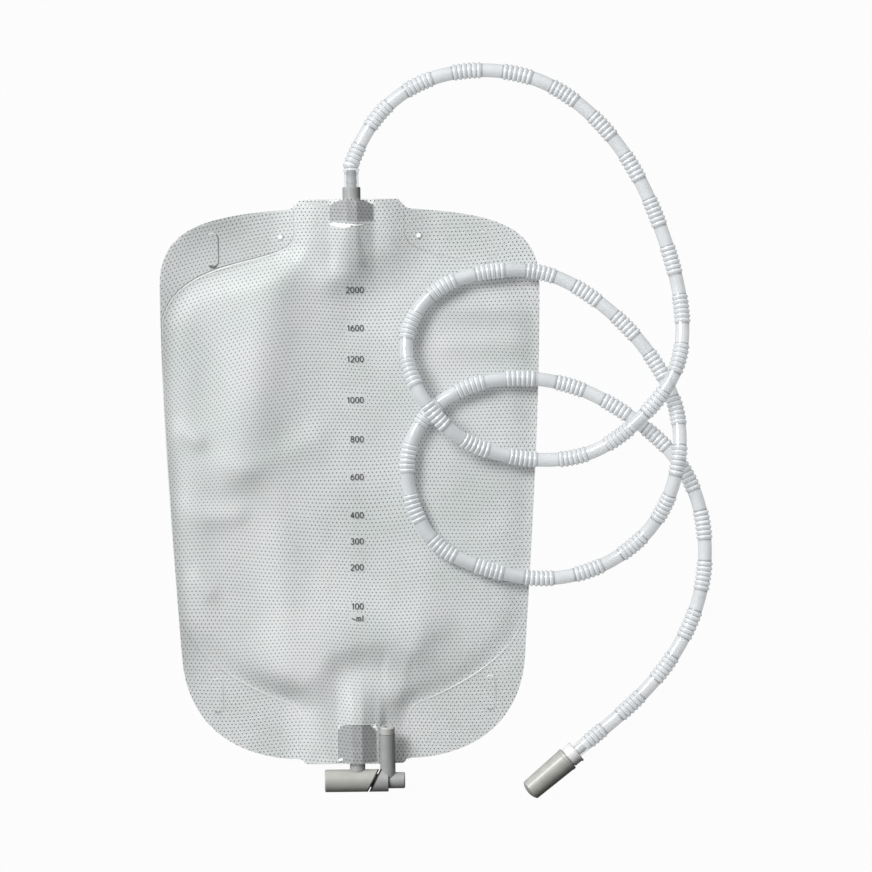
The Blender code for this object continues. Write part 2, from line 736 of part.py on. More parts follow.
def valve_barrel(finish):
    """Tube closed at its left end, with two seal grooves and a slanting right end."""
    outer = BARREL_DIAMETER / 2
    bore = BARREL_BORE / 2
    groove = PLUNGER_DIAMETER / 2 + 2 * GAP + SEAL_SECTION
    wide = SEAL_SECTION / 2 + GAP * 0.6
    left = -BARREL_LEFT
    right = BARREL_RIGHT + 0.002
    profile = [(0.0, left), (outer - BARREL_ROUND, left)]
    profile += [(outer - BARREL_ROUND * 0.3, left + BARREL_ROUND * 0.3)]
    profile += [(outer, left + BARREL_ROUND), (outer, right), (bore, right)]
    for middle in (SEAL_PLACE, -SEAL_PLACE):
        profile += [(bore, middle + wide), (groove, middle + wide)]
        profile += [(groove, middle - wide), (bore, middle - wide)]
    profile += [(bore, left + BARREL_WALL), (0.0, left + BARREL_WALL)]
    barrel = add_object("valve_barrel", turned(profile, barrel_place(), 40), finish)
    combine(barrel, cam_plane("barrel_slant", 0.0, False), "DIFFERENCE")
    up = along((PORT_X, BARREL_Y, AXIS_Z), (0.0, 1.0, 0.0))
    hole = rod(OUTLET_NIPPLE + 2 * GAP, 0.0, BARREL_DIAMETER, up, 20)
    combine(barrel, add_helper("barrel_hole", hole), "DIFFERENCE")
    return barrel


def seal(name, place, finish):
    """An O-ring in a groove of the barrel, round the plunger."""
    minor = SEAL_SECTION / 2
    major = PLUNGER_DIAMETER / 2 + GAP + minor
    turns = [math.tau * step / 8 for step in range(9)]
    profile = [(major + minor * math.cos(a), place + minor * math.sin(a)) for a in turns]
    profile[-1] = profile[0]
    return add_object(name, turned(profile, barrel_place(), 28), finish)


def valve_plunger(finish):
    """Hollow stem, closed at its left end, with a side window and a snap bead."""
    outer = PLUNGER_DIAMETER / 2
    bore = PLUNGER_BORE / 2
    left = -PLUNGER_LEFT
    right = BEAD_X + BEAD_WIDTH / 2 + 0.0008
    profile = [(0.0, left), (outer - 0.0005, left), (outer, left + 0.0005)]
    profile += [(outer, BEAD_X - BEAD_WIDTH / 2), (outer + BEAD_HEIGHT, BEAD_X - BEAD_WIDTH / 2)]
    profile += [(outer + BEAD_HEIGHT, BEAD_X), (outer, BEAD_X + BEAD_WIDTH / 2), (outer, right)]
    profile += [(bore, right), (bore, left + PLUNGER_END_WALL), (0.0, left + PLUNGER_END_WALL)]
    stem = turned(profile, barrel_place(), 28)
    plunger = add_object("valve_plunger", stem, finish, barrel_place().translation)
    place = along((PORT_X + PLUNGER_WINDOW_X, BARREL_Y, AXIS_Z), (0.0, 1.0, 0.0))
    window = rod(PLUNGER_WINDOW, -BARREL_DIAMETER, BARREL_DIAMETER, place, 12)
    combine(plunger, add_helper("plunger_window", window), "DIFFERENCE")
    return plunger


def spout_place():
    """Matrix of the spout's axis, with height measured from the tap's axis."""
    direction = (0.0, math.cos(SPOUT_TILT), math.sin(SPOUT_TILT))
    return along((PORT_X + SPOUT_X, BARREL_Y, AXIS_Z), direction)


def valve_rotor(finish):
    """Sleeve with a slanting cam end, a closed stub and the spout that turns it."""
    outer = BARREL_DIAMETER / 2
    stub = STUB_DIAMETER / 2
    bore = PLUNGER_DIAMETER / 2 + GAP
    groove = PLUNGER_DIAMETER / 2 + BEAD_HEIGHT + GAP
    wide = BEAD_WIDTH / 2 + GAP
    neck = BEAD_X + BEAD_WIDTH / 2 + 0.0008 + GAP
    left = BARREL_RIGHT - CAM_RISE - 0.002
    end = ROTOR_END - ROTOR_END_WALL
    profile = [(0.0, left), (outer, left)]
    profile += [(outer, ROTOR_SLEEVE_END - 0.0003), (outer - 0.0003, ROTOR_SLEEVE_END)]
    profile += [(stub, ROTOR_SLEEVE_END), (stub, ROTOR_END - 0.0006), (stub - 0.0006, ROTOR_END)]
    profile += [(0.0, ROTOR_END)]
    sleeve = turned(profile, barrel_place(), 40)
    rotor = add_object("valve_rotor", sleeve, finish, barrel_place().translation)
    combine(rotor, cam_plane("rotor_slant", CAM_SLIT, True), "DIFFERENCE")
    spout = rod(SPOUT_DIAMETER, STUB_BORE / 2, SPOUT_LENGTH, spout_place())
    combine(rotor, add_helper("rotor_spout", spout), "UNION")
    chamber = [(0.0, left - 0.001), (bore, left - 0.001), (bore, BEAD_X - wide)]
    chamber += [(groove, BEAD_X - wide), (groove, BEAD_X + wide), (bore, BEAD_X + wide)]
    chamber += [(bore, neck), (STUB_BORE / 2, neck), (STUB_BORE / 2, end), (0.0, end)]
    chamber_tool = turned(chamber, barrel_place(), 28)
    combine(rotor, add_helper("rotor_chamber", chamber_tool), "DIFFERENCE")
    bore_profile = [(0.0, 0.0), (SPOUT_BORE / 2, 0.0)]
    socket = SPOUT_LENGTH - TIP_PLUG_LENGTH - GAP
    bore_profile += [(SPOUT_BORE / 2, socket), (TIP_PLUG_DIAMETER / 2 + GAP, socket)]
    bore_profile += [(TIP_PLUG_DIAMETER / 2 + GAP, SPOUT_LENGTH + 0.001), (0.0, SPOUT_LENGTH + 0.001)]
    bore_tool = turned(bore_profile, spout_place(), 20)
    combine(rotor, add_helper("rotor_spout_bore", bore_tool), "DIFFERENCE")
    return rotor


def spout_tip(finish):
    """Tapered nozzle that plugs into the end of the spout."""
    low = SPOUT_LENGTH + GAP
    high = low + TIP_LENGTH
    bore = SPOUT_BORE / 2
    plug = TIP_PLUG_DIAMETER / 2
    profile = [(bore, low - TIP_PLUG_LENGTH), (plug, low - TIP_PLUG_LENGTH), (plug, low)]
    profile += [(SPOUT_DIAMETER / 2 - 0.0001, low), (TIP_DIAMETER / 2, high - 0.0005)]
    profile += [(TIP_DIAMETER / 2 - 0.0005, high), (bore, high), (bore, low - TIP_PLUG_LENGTH)]
    nozzle = turned(profile, spout_place())
    return add_object("spout_tip", nozzle, finish, barrel_place().translation)


def smooth_route():
    """Evenly spaced points on a smooth curve through the tube's route."""
    first = Vector((PORT_X, SPIGOT_TIP_Y + GAP, AXIS_Z))
    last = connector_place() @ Vector((0.0, 0.0, -CONNECTOR_SPIGOT - GAP))
    after_first = first + Vector((0.0, TUBE_STRAIGHT, 0.0))
    before_last = last - CONNECTOR_AXIS * TUBE_STRAIGHT
    route = [(x, y, low + TUBE_DIAMETER / 2) for x, y, low in ROUTE]
    route = np.array([tuple(after_first), *route, tuple(before_last)])
    chord = np.linalg.norm(np.diff(route, axis=0), axis=1)
    at = np.concatenate([[0.0], np.cumsum(chord)])
    count = len(route)
    system = np.eye(count)
    target = np.zeros((count, 3))
    for i in range(1, count - 1):
        before = at[i] - at[i - 1]
        after = at[i + 1] - at[i]
        system[i, i - 1 : i + 2] = before, 2.0 * (before + after), after
        rise_after = (route[i + 1] - route[i]) / after
        rise_before = (route[i] - route[i - 1]) / before
        target[i] = 6.0 * (rise_after - rise_before)
    bend = np.linalg.solve(system, target)
    fine = np.linspace(0.0, at[-1], 2000)
    i = np.clip(np.searchsorted(at, fine, side="right") - 1, 0, count - 2)
    step = (at[i + 1] - at[i])[:, None]
    b = (fine - at[i])[:, None] / step
    a = 1.0 - b
    curve = a * route[i] + b * route[i + 1]
    curve += ((a**3 - a) * bend[i] + (b**3 - b) * bend[i + 1]) * step**2 / 6.0
    curve[:, 2] = np.maximum(curve[:, 2], FLOOR + TUBE_DIAMETER / 2)
    length = np.concatenate([[0.0], np.cumsum(np.linalg.norm(np.diff(curve, axis=0), axis=1))])
    places = np.linspace(0.0, length[-1], round(length[-1] / TUBE_SPACING) + 1)
    points = [[np.interp(place, length, curve[:, k]) for k in range(3)] for place in places]
    return [first, *(Vector(point) for point in points), last]


def drainage_tube(finish):
    """The tube as a plain round cord between the two spigots."""
    points = smooth_route()
    curve = bpy.data.curves.new("drainage_tube", "CURVE")
    curve.dimensions = "3D"
    curve.bevel_depth = TUBE_DIAMETER / 2
    curve.bevel_resolution = TUBE_SIDES
    curve.use_fill_caps = True
    spline = curve.splines.new("POLY")
    spline.points.add(len(points) - 1)
    for point, place in zip(spline.points, points):
        point.co = (*place, 1.0)
    curve.materials.append(finish)
    obj = bpy.data.objects.new("drainage_tube", curve)
    bpy.context.scene.collection.objects.link(obj)
    return obj


def connector_place():
    """Matrix of the connector's axis, measured from the tube side of its collar."""
    start = Vector((CONNECTOR_END.x, CONNECTOR_END.y + BAG_Y, CAP_Z))
    return along(start, CONNECTOR_AXIS)


def tube_connector(finish):
    """Spigot inside the tube, rimmed collar, and the grooved nose for a catheter."""
    spigot = SPIGOT_DIAMETER / 2
    bore = SPIGOT_BORE / 2
    collar = COLLAR_DIAMETER / 2
    rim = COLLAR_RIM_DIAMETER / 2
    base_end = COLLAR_LENGTH + NOSE_BASE_LENGTH
    nose_end = COLLAR_LENGTH + NOSE_LENGTH
    profile = [(bore, -CONNECTOR_SPIGOT), (spigot - BARB, -CONNECTOR_SPIGOT)]
    profile += [(spigot + BARB, 0.0028 - CONNECTOR_SPIGOT), (spigot, 0.0030 - CONNECTOR_SPIGOT)]
    profile += [(spigot, 0.0), (rim - 0.0004, 0.0), (rim, 0.0004)]
    profile += [(rim, COLLAR_RIM_LENGTH - 0.0003), (collar, COLLAR_RIM_LENGTH)]
    profile += [(collar, COLLAR_LENGTH - 0.0004), (collar - 0.0004, COLLAR_LENGTH)]
    profile += [(NOSE_BASE_DIAMETER / 2, COLLAR_LENGTH), (NOSE_BASE_DIAMETER / 2, base_end)]
    profile += [(NOSE_DIAMETER / 2, base_end + 0.0004)]
    span = nose_end - base_end - 0.0004
    drop = (NOSE_DIAMETER - NOSE_TIP_DIAMETER) / 2
    for index in range(NOSE_GROOVES):
        middle = base_end + 0.0004 + span * (index + 0.8) / (NOSE_GROOVES + 1.2)
        radius = NOSE_DIAMETER / 2 - drop * (middle - base_end) / span
        profile += [(radius, middle - 0.0009), (radius - 0.0004, middle - 0.0007)]
        profile += [(radius - 0.0004, middle + 0.0007), (radius, middle + 0.0009)]
    profile += [(NOSE_TIP_DIAMETER / 2, nose_end - 0.0005)]
    profile += [(NOSE_TIP_DIAMETER / 2 - 0.0005, nose_end), (bore, nose_end)]
    profile += [(bore, -CONNECTOR_SPIGOT)]
    return add_object("tube_connector", turned(profile, connector_place(), 28), finish)


def protective_cap(finish):
    """Tapered cap over the connector's nose, with a domed closed end."""
    mouth = CAP_MOUTH_DIAMETER / 2
    tip = CAP_TIP_DIAMETER / 2
    start = COLLAR_LENGTH + GAP
    end = start + CAP_LENGTH
    seat = NOSE_BASE_DIAMETER / 2 + GAP
    seat_end = COLLAR_LENGTH + NOSE_BASE_LENGTH + GAP
    rim_end = end - CAP_DOME
    inner_end = rim_end - CAP_WALL * 0.6
    profile = [(0.0, end), (tip * 0.35, end - CAP_DOME * 0.12), (tip * 0.70, end - CAP_DOME * 0.50)]
    profile += [(tip - CAP_ROUND, rim_end), (tip, rim_end - CAP_ROUND)]
    profile += [(mouth - 0.0002, start + 0.0022), (mouth, start + 0.0018), (mouth, start + 0.0004)]
    profile += [(mouth - 0.0004, start), (seat, start), (seat, seat_end)]
    profile += [(seat - 0.0002, seat_end + 0.0004), (tip - CAP_WALL, inner_end - 0.001)]
    profile += [(tip - CAP_WALL - 0.001, inner_end), (0.0, inner_end)]
    cap = turned(profile, connector_place(), 36)
    return add_object("protective_cap", cap, finish, connector_place().translation)


def build():
    """Make every piece of the bag."""
    clear_scene()
    clear_film = material("clear_film", (0.78, 0.80, 0.79), 0.32, 0.55)
    sleeve_film = material("sleeve_film", (0.74, 0.77, 0.76), 0.40, 0.60)
    port_grey = material("port_grey", (0.36, 0.37, 0.38), 0.42)
    barrel_beige = material("barrel_beige", (0.56, 0.56, 0.53), 0.38)
    rotor_grey = material("rotor_grey", (0.34, 0.35, 0.36), 0.36)
    plunger_white = material("plunger_white", (0.80, 0.80, 0.79), 0.40)
    seal_black = material("seal_black", (0.03, 0.03, 0.03), 0.60)
    tip_beige = material("tip_beige", (0.60, 0.60, 0.56), 0.40)
    tube_clear = material("tube_clear", (0.80, 0.83, 0.84), 0.20, 0.50)
    connector_white = material("connector_white", (0.82, 0.83, 0.82), 0.35)
    cap_grey = material("cap_grey", (0.50, 0.50, 0.47), 0.40)

    back = film("back_film", clear_film, lambda x, y: back_top(x, y) - FILM)
    front = film("front_film", clear_film, front_bottom)
    cutter = film_cutter()
    combine(back, cutter, "DIFFERENCE")
    combine(front, cutter, "DIFFERENCE")
    inlet_port(port_grey)
    non_return_valve(sleeve_film)
    outlet_port(port_grey)
    valve_barrel(barrel_beige)
    seal("barrel_seal_left", -SEAL_PLACE, seal_black)
    seal("barrel_seal_right", SEAL_PLACE, seal_black)
    valve_plunger(plunger_white)
    valve_rotor(rotor_grey)
    spout_tip(tip_beige)
    drainage_tube(tube_clear)
    tube_connector(connector_white)
    protective_cap(cap_grey)


build()
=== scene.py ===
"""Empty urine drainage bag, seen from above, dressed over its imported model.

Metres, in the frame of the solids: +Y towards the inlet, +Z up from the surface
that the bag lies on.
"""

import logging
import math
from dataclasses import dataclass, field
from enum import Enum

import bmesh
import bpy
import numpy as np
from bmesh.types import BMesh, BMFace, BMVert
from bpy.types import ID, Material, Mesh, Node, NodeSocket, Object
from mathutils import Matrix, Vector, noise


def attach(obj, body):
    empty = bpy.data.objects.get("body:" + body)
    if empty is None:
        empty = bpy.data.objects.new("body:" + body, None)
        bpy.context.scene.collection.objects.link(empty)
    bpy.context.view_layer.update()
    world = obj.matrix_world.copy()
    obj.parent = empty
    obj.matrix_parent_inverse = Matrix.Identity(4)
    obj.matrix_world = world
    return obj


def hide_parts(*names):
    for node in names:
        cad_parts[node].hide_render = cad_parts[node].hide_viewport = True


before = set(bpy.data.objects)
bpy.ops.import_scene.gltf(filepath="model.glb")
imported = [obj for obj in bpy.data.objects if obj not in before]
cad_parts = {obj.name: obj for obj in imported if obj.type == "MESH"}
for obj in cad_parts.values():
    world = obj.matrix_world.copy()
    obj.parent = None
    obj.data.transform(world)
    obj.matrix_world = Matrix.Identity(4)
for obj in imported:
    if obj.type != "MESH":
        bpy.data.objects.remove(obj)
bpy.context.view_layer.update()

LOG = logging.getLogger("drainage_bag")
Array = np.ndarray
Colour = tuple[float, float, float]
Point2 = tuple[float, float]
Point3 = tuple[float, float, float]


# Shader arithmetic


class Socket:
    """One output of a node, which takes part in written arithmetic."""

    def __init__(self, maker: "NodeMaker", link: NodeSocket) -> None:
        """Keep the socket and the maker that adds nodes beside it."""
        self.maker = maker
        self.link = link

    def _math(self, operation: str, *values: "Socket | float") -> "Socket":
        """Add one Math node."""
        return self.maker.math(operation, *values)

    def __add__(self, other: "Socket | float") -> "Socket":
        """Sum."""
        return self._math("ADD", self, other)

    __radd__ = __add__

    def __sub__(self, other: "Socket | float") -> "Socket":
        """Difference."""
        return self._math("SUBTRACT", self, other)

    def __rsub__(self, other: "Socket | float") -> "Socket":
        """Difference, with this socket taken away."""
        return self._math("SUBTRACT", other, self)

    def __mul__(self, other: "Socket | float") -> "Socket":
        """Product."""
        return self._math("MULTIPLY", self, other)

    __rmul__ = __mul__

    def __truediv__(self, other: "Socket | float") -> "Socket":
        """Quotient."""
        return self._math("DIVIDE", self, other)

    def fraction(self) -> "Socket":
        """What is left over from the whole number below."""
        return self._math("FRACT", self)

    def root(self) -> "Socket":
        """Square root."""
        return self._math("SQRT", self)

    def least(self, other: "Socket | float") -> "Socket":
        """The smaller of two."""
        return self._math("MINIMUM", self, other)

    def ramp(self, start: float, end: float) -> "Socket":
        """Smooth step from 0 at start to 1 at end.

        Args:
            start: value that gives 0.
            end: value that gives 1, above or below start.

        Returns:
            The stepped value.
        """
        settings = {"interpolation_type": "SMOOTHSTEP"}
        sockets = {"Value": self, "From Min": start, "From Max": end}
        return self.maker.add("ShaderNodeMapRange", settings, sockets)


class NodeMaker:
    """Adds nodes to one material, with a Principled shader to start from."""

    def __init__(self, name: str) -> None:
        """Start a material of that name."""
        self.material = bpy.data.materials.new(name)
        self.material.use_nodes = True
        self.tree = self.material.node_tree
        self.shader = self.tree.nodes["Principled BSDF"]

    def node(
        self,
        kind: str,
        settings: dict[str, object] | None = None,
        sockets: dict[str | int, object] | None = None,
    ) -> Node:
        """Add one node.

        Args:
            kind: the node's type name.
            settings: its own settings, set first.
            sockets: values or links of its inputs, by name or number.

        Returns:
            The node.
        """
        made = self.tree.nodes.new(kind)
        for name, value in (settings or {}).items():
            setattr(made, name, value)
        for name, value in (sockets or {}).items():
            self.feed(made.inputs[name], value)
        return made

    def add(
        self,
        kind: str,
        settings: dict[str, object] | None = None,
        sockets: dict[str | int, object] | None = None,
        output: str | int = 0,
    ) -> Socket:
        """Add one node and return one of its outputs."""
        return Socket(self, self.node(kind, settings, sockets).outputs[output])

    def feed(self, socket: NodeSocket, value: object) -> None:
        """Link a socket or set its value."""
        if isinstance(value, Socket):
            self.tree.links.new(value.link, socket)
        elif isinstance(value, tuple) and len(value) == 3 and socket.type == "RGBA":
            socket.default_value = (*value, 1.0)
        else:
            socket.default_value = value

    def math(self, operation: str, *values: Socket | float) -> Socket:
        """Add a Math node over one or two values."""
        sockets = dict(enumerate(values))
        return self.add("ShaderNodeMath", {"operation": operation}, sockets)

    def place(self) -> Socket:
        """Object coordinates of the surface."""
        return self.add("ShaderNodeTexCoord", output="Object")

    def axes(self, vector: Socket) -> tuple[Socket, Socket, Socket]:
        """Split a vector into its three parts."""
        made = self.node("ShaderNodeSeparateXYZ", None, {0: vector})
        return tuple(Socket(self, output) for output in made.outputs)

    def attribute(self, name: str) -> Socket:
        """Number that the mesh stores under a name."""
        return self.add("ShaderNodeAttribute", {"attribute_name": name}, None, "Fac")

    def cloud(self, size: float, detail: float = 2.0) -> Socket:
        """Noise from 0 to 1 with patches of about that size in metres."""
        sockets = {"Vector": self.place(), "Scale": 1.0 / size, "Detail": detail}
        return self.add("ShaderNodeTexNoise", None, sockets)

    def blend(self, share: Socket | float, first: object, second: object) -> Socket:
        """Mix two colours by a share."""
        sockets = {"Factor": share, 6: first, 7: second}
        return self.add("ShaderNodeMix", {"data_type": "RGBA"}, sockets, output=2)

    def bump(self, height: Socket, strength: float, distance: float) -> Socket:
        """Turn a height into a normal."""
        sockets = {"Height": height, "Strength": strength, "Distance": distance}
        return self.add("ShaderNodeBump", None, sockets)

    def set(self, **sockets: object) -> None:
        """Set inputs of the Principled shader, with _ for a space in each name."""
        for name, value in sockets.items():
            self.feed(self.shader.inputs[name.replace("_", " ")], value)


# Finishes


@dataclass(frozen=True)
class MouldedPlastic:
    """Hard injection-moulded plastic with a fine satin grain, faint scuffs and, if set, a slit's
    painted shade.
    """

    name: str
    colour: Colour
    scuffed: Colour
    roughness: float = 0.42
    grain: float = 0.00035
    patch_size: float = 0.006
    patch_share: float = 0.55
    speck_size: float = 0.0011
    speck_share: float = 0.12
    coat: float = 0.15
    # The slit fields below paint shade: a near-black line on the plastic along the tap's slanting
    # slit, where the gap lies in shadow.
    slit_shade_reach: float = 0.0
    slit_place: Point2 = (0.0109, -0.16975)
    slit_lean: float = 0.5156
    slit_top: float = -0.1629
    slit_end: float = 0.0005
    slit_core: float = 0.7
    slit_shade_colour: Colour = (0.02, 0.02, 0.02)

    def make(self) -> Material:
        """Build the material."""
        maker = NodeMaker(self.name)
        patches = maker.cloud(self.patch_size, 3.0).ramp(0.42, 0.68)
        specks = maker.cloud(self.speck_size).ramp(0.55, 0.75)
        grain = maker.cloud(self.grain, 3.0)
        base = maker.blend(patches * self.patch_share, self.colour, self.scuffed)
        base = maker.blend(specks * self.speck_share, base, self.scuffed)
        # Painted shade: darken the plastic along the slit.
        if self.slit_shade_reach:
            base = maker.blend(self._painted_slit_shade(maker), base, self.slit_shade_colour)
        maker.set(
            Base_Color=base,
            Roughness=self.roughness + patches * 0.10 + grain * 0.06,
            Coat_Weight=self.coat,
            Coat_Roughness=0.25,
            IOR=1.50,
            Normal=maker.bump(grain, 0.14, 0.00010),
        )
        return maker.material

    def _painted_slit_shade(self, maker: NodeMaker) -> Socket:
        """Mask of the painted shade: 1 at the tap's slanting slit, 0 away from it."""
        x, y, _ = maker.axes(maker.place())
        middle_x, middle_y = self.slit_place
        away = maker.math("ABSOLUTE", x - (y - middle_y) * self.slit_lean - middle_x)
        below = y.ramp(self.slit_top, self.slit_top - self.slit_end)
        return away.ramp(self.slit_shade_reach, self.slit_shade_reach * self.slit_core) * below


@dataclass(frozen=True)
class DottedFilm:
    """Clear soft film with rows of small embossed dots, staggered from row to row."""

    name: str
    colour: Colour
    tint: Colour
    dot_colour: Colour
    alpha: float
    dot_alpha: float
    dot_step: float = 0.00224
    row_step: float = 0.00196
    dot_radius: float = 0.00038
    dot_edge: float = 1.35
    dot_core: float = 0.55
    row_lean: float = 0.0
    row_bend: float = 2.4
    bend_from: float = -0.022
    bend_rise: Point2 = (-0.040, 0.080)
    drift_size: float = 0.110
    drift_across: float = 0.0080
    drift_along: float = 0.0150
    haze_size: float = 0.045
    haze_alpha: float = 0.04
    pull_size: float = 0.0045
    roughness: float = 0.46
    welded_alpha: float = 0.06
    port_middle: float = 0.0016
    port_soft: float = 0.0008
    port_blocks: tuple[Point3, Point3] = ((0.0125, 0.1470, 0.1600), (0.0110, -0.1600, -0.1380))
    print_name: str = "print"
    print_fade: float = 0.85

    def make(self) -> Material:
        """Build the material."""
        maker = NodeMaker(self.name)
        drift = maker.cloud(self.drift_size, 1.0) - 0.5
        x, y, _ = maker.axes(maker.place())
        blocks = [self._on_port(x, y, *block) for block in self.port_blocks]
        welded = maker.math("MAXIMUM", *blocks)
        aside = maker.math("MAXIMUM", self.bend_from - x, 0.0)
        arch = aside * aside * y.ramp(*self.bend_rise) * self.row_bend
        x = x + drift * self.drift_across
        y = y + x * self.row_lean + drift * self.drift_along + arch
        across = x / self.dot_step
        along = y / (2.0 * self.row_step)
        dots = self._distance(across, along).least(self._distance(across + 0.5, along + 0.5))
        dot = dots.ramp(self.dot_radius * self.dot_edge, self.dot_radius * self.dot_core)
        dot = dot * (1.0 - maker.attribute(self.print_name) * self.print_fade)
        haze = maker.cloud(self.haze_size, 3.0).ramp(0.30, 0.72)
        pull = maker.cloud(self.pull_size)
        film = maker.blend(haze, self.colour, self.tint)
        height = dot * 0.8 + pull * 0.3
        maker.set(
            Base_Color=maker.blend(dot, film, self.dot_colour),
            Roughness=self.roughness + haze * 0.08,
            Alpha=self._opacity(haze, dot, welded),
            IOR=1.46,
            Coat_Weight=0.10,
            Coat_Roughness=0.22,
            Normal=maker.bump(height, 0.6, 0.00035),
        )
        return maker.material

    def _opacity(self, haze: Socket, dot: Socket, welded: Socket) -> Socket:
        """Clearer where the film is welded on a port, denser in the dots."""
        plain = self.alpha + haze * self.haze_alpha
        plain = plain + welded * (self.welded_alpha - plain)
        return plain + dot * (self.dot_alpha - plain)

    def _on_port(self, x: Socket, y: Socket, half: float, low: float, high: float) -> Socket:
        """1 on a port's block, with a soft edge."""
        soft = self.port_soft
        across = x.maker.math("ABSOLUTE", x - self.port_middle).ramp(half + soft, half - soft)
        over = y.ramp(low - soft, low + soft) * y.ramp(high + soft, high - soft)
        return across * over

    def _distance(self, across: Socket, along: Socket) -> Socket:
        """Distance in metres to the middle of a lattice cell."""
        right = (across.fraction() - 0.5) * self.dot_step
        up = (along.fraction() - 0.5) * (2.0 * self.row_step)
        return (right * right + up * up).root()


@dataclass(frozen=True)
class PlainFilm:
    """Clear film without dots, as in the sleeve; also the white of the welded line, a painted
    highlight, and the dark painted shade beside the weld and cuts.
    """

    name: str
    colour: Colour
    tint: Colour
    alpha: float
    roughness: float = 0.25
    fading: str = ""

    def make(self) -> Material:
        """Build the material."""
        maker = NodeMaker(self.name)
        haze = maker.cloud(0.012, 3.0).ramp(0.35, 0.70)
        alpha = self.alpha + haze * 0.10
        if self.fading:
            alpha = alpha * maker.attribute(self.fading)
        maker.set(
            Base_Color=maker.blend(haze, self.colour, self.tint),
            Roughness=self.roughness + haze * 0.10,
            Alpha=alpha,
            IOR=1.46,
            Coat_Weight=0.3,
            Coat_Roughness=0.10,
            Normal=maker.bump(maker.cloud(0.0016), 0.30, 0.00020),
        )
        return maker.material


@dataclass(frozen=True)
class ClearTubing:
    """Soft clear tubing, milky at its rims, with painted highlights on its crests, painted shade in
    its grooves and a painted glow.
    """

    name: str
    colour: Colour
    tint: Colour
    # The groove colour is painted shade; the crest colour is a painted highlight.
    groove_shade_colour: Colour
    crest_highlight_colour: Colour
    thin_alpha: float = 0.06
    wall_alpha: float = 0.72
    rim: float = 0.10
    groove_alpha: float = 0.20
    crest_alpha: float = 0.20
    # Emission strength of the tube's own colour: a painted glow that lightens the tube's shaded
    # side.
    glow: float = 0.86
    rib_name: str = "rib"
    wall_name: str = "wall"

    def make(self) -> Material:
        """Build the material."""
        maker = NodeMaker(self.name)
        haze = maker.cloud(0.018, 3.0).ramp(0.30, 0.72)
        facing = maker.add("ShaderNodeLayerWeight", None, {"Blend": 0.45}, "Facing")
        rib, wall = (maker.attribute(name) for name in (self.rib_name, self.wall_name))
        # Painted shade in the grooves and painted highlight on the crests, from the rib attribute.
        groove = rib.ramp(-0.10, -1.0)
        crest = rib.ramp(0.10, 1.0)
        base = maker.blend(haze, self.colour, self.tint)
        base = maker.blend(groove, base, self.groove_shade_colour)
        alpha = facing * facing * self.rim + self.thin_alpha + wall * self.wall_alpha
        maker.set(
            Base_Color=maker.blend(crest, base, self.crest_highlight_colour),
            Roughness=0.14 + haze * 0.08,
            Alpha=alpha + groove * self.groove_alpha + crest * self.crest_alpha,
            IOR=1.52,
            Coat_Weight=0.5,
            Coat_Roughness=0.05,
            # The emission is a painted glow, not a lamp.
            Emission_Color=base,
            Emission_Strength=self.glow,
            Normal=maker.bump(maker.cloud(0.0022), 0.18, 0.00020),
        )
        return maker.material


@dataclass(frozen=True)
class PrintedInk:
    """Grey ink of the scale, a little worn."""

    name: str
    colour: Colour
    worn: Colour

    def make(self) -> Material:
        """Build the material."""
        maker = NodeMaker(self.name)
        wear = maker.cloud(0.0009, 3.0).ramp(0.48, 0.75)
        maker.set(
            Base_Color=maker.blend(wear * 0.5, self.colour, self.worn),
            Roughness=0.55 + wear * 0.15,
            Alpha=1.0 - wear * 0.08,
            Normal=maker.bump(wear, 0.15, 0.00005),
        )
        return maker.material


@dataclass(frozen=True)
class PaleFloor:
    """White table that keeps only a faint shadow."""

    name: str
    colour: Colour
    own_light: float

    def make(self) -> Material:
        """Build the material: part of what the camera sees is the floor's own white."""
        maker = NodeMaker(self.name)
        maker.set(Base_Color=self.colour, Roughness=0.9)
        rays = maker.node("ShaderNodeLightPath")
        camera = Socket(maker, rays.outputs["Is Camera Ray"])
        through = Socket(maker, rays.outputs["Is Transmission Ray"])
        seen = maker.math("MINIMUM", camera + through, 1.0)
        white = {"Color": (1.0, 1.0, 1.0), "Strength": 1.0}
        glow = maker.add("ShaderNodeEmission", None, white)
        plain = Socket(maker, maker.shader.outputs[0])
        parts = {0: seen * self.own_light, 1: plain, 2: glow}
        mixed = maker.add("ShaderNodeMixShader", None, parts)
        maker.feed(maker.tree.nodes["Material Output"].inputs["Surface"], mixed)
        return maker.material


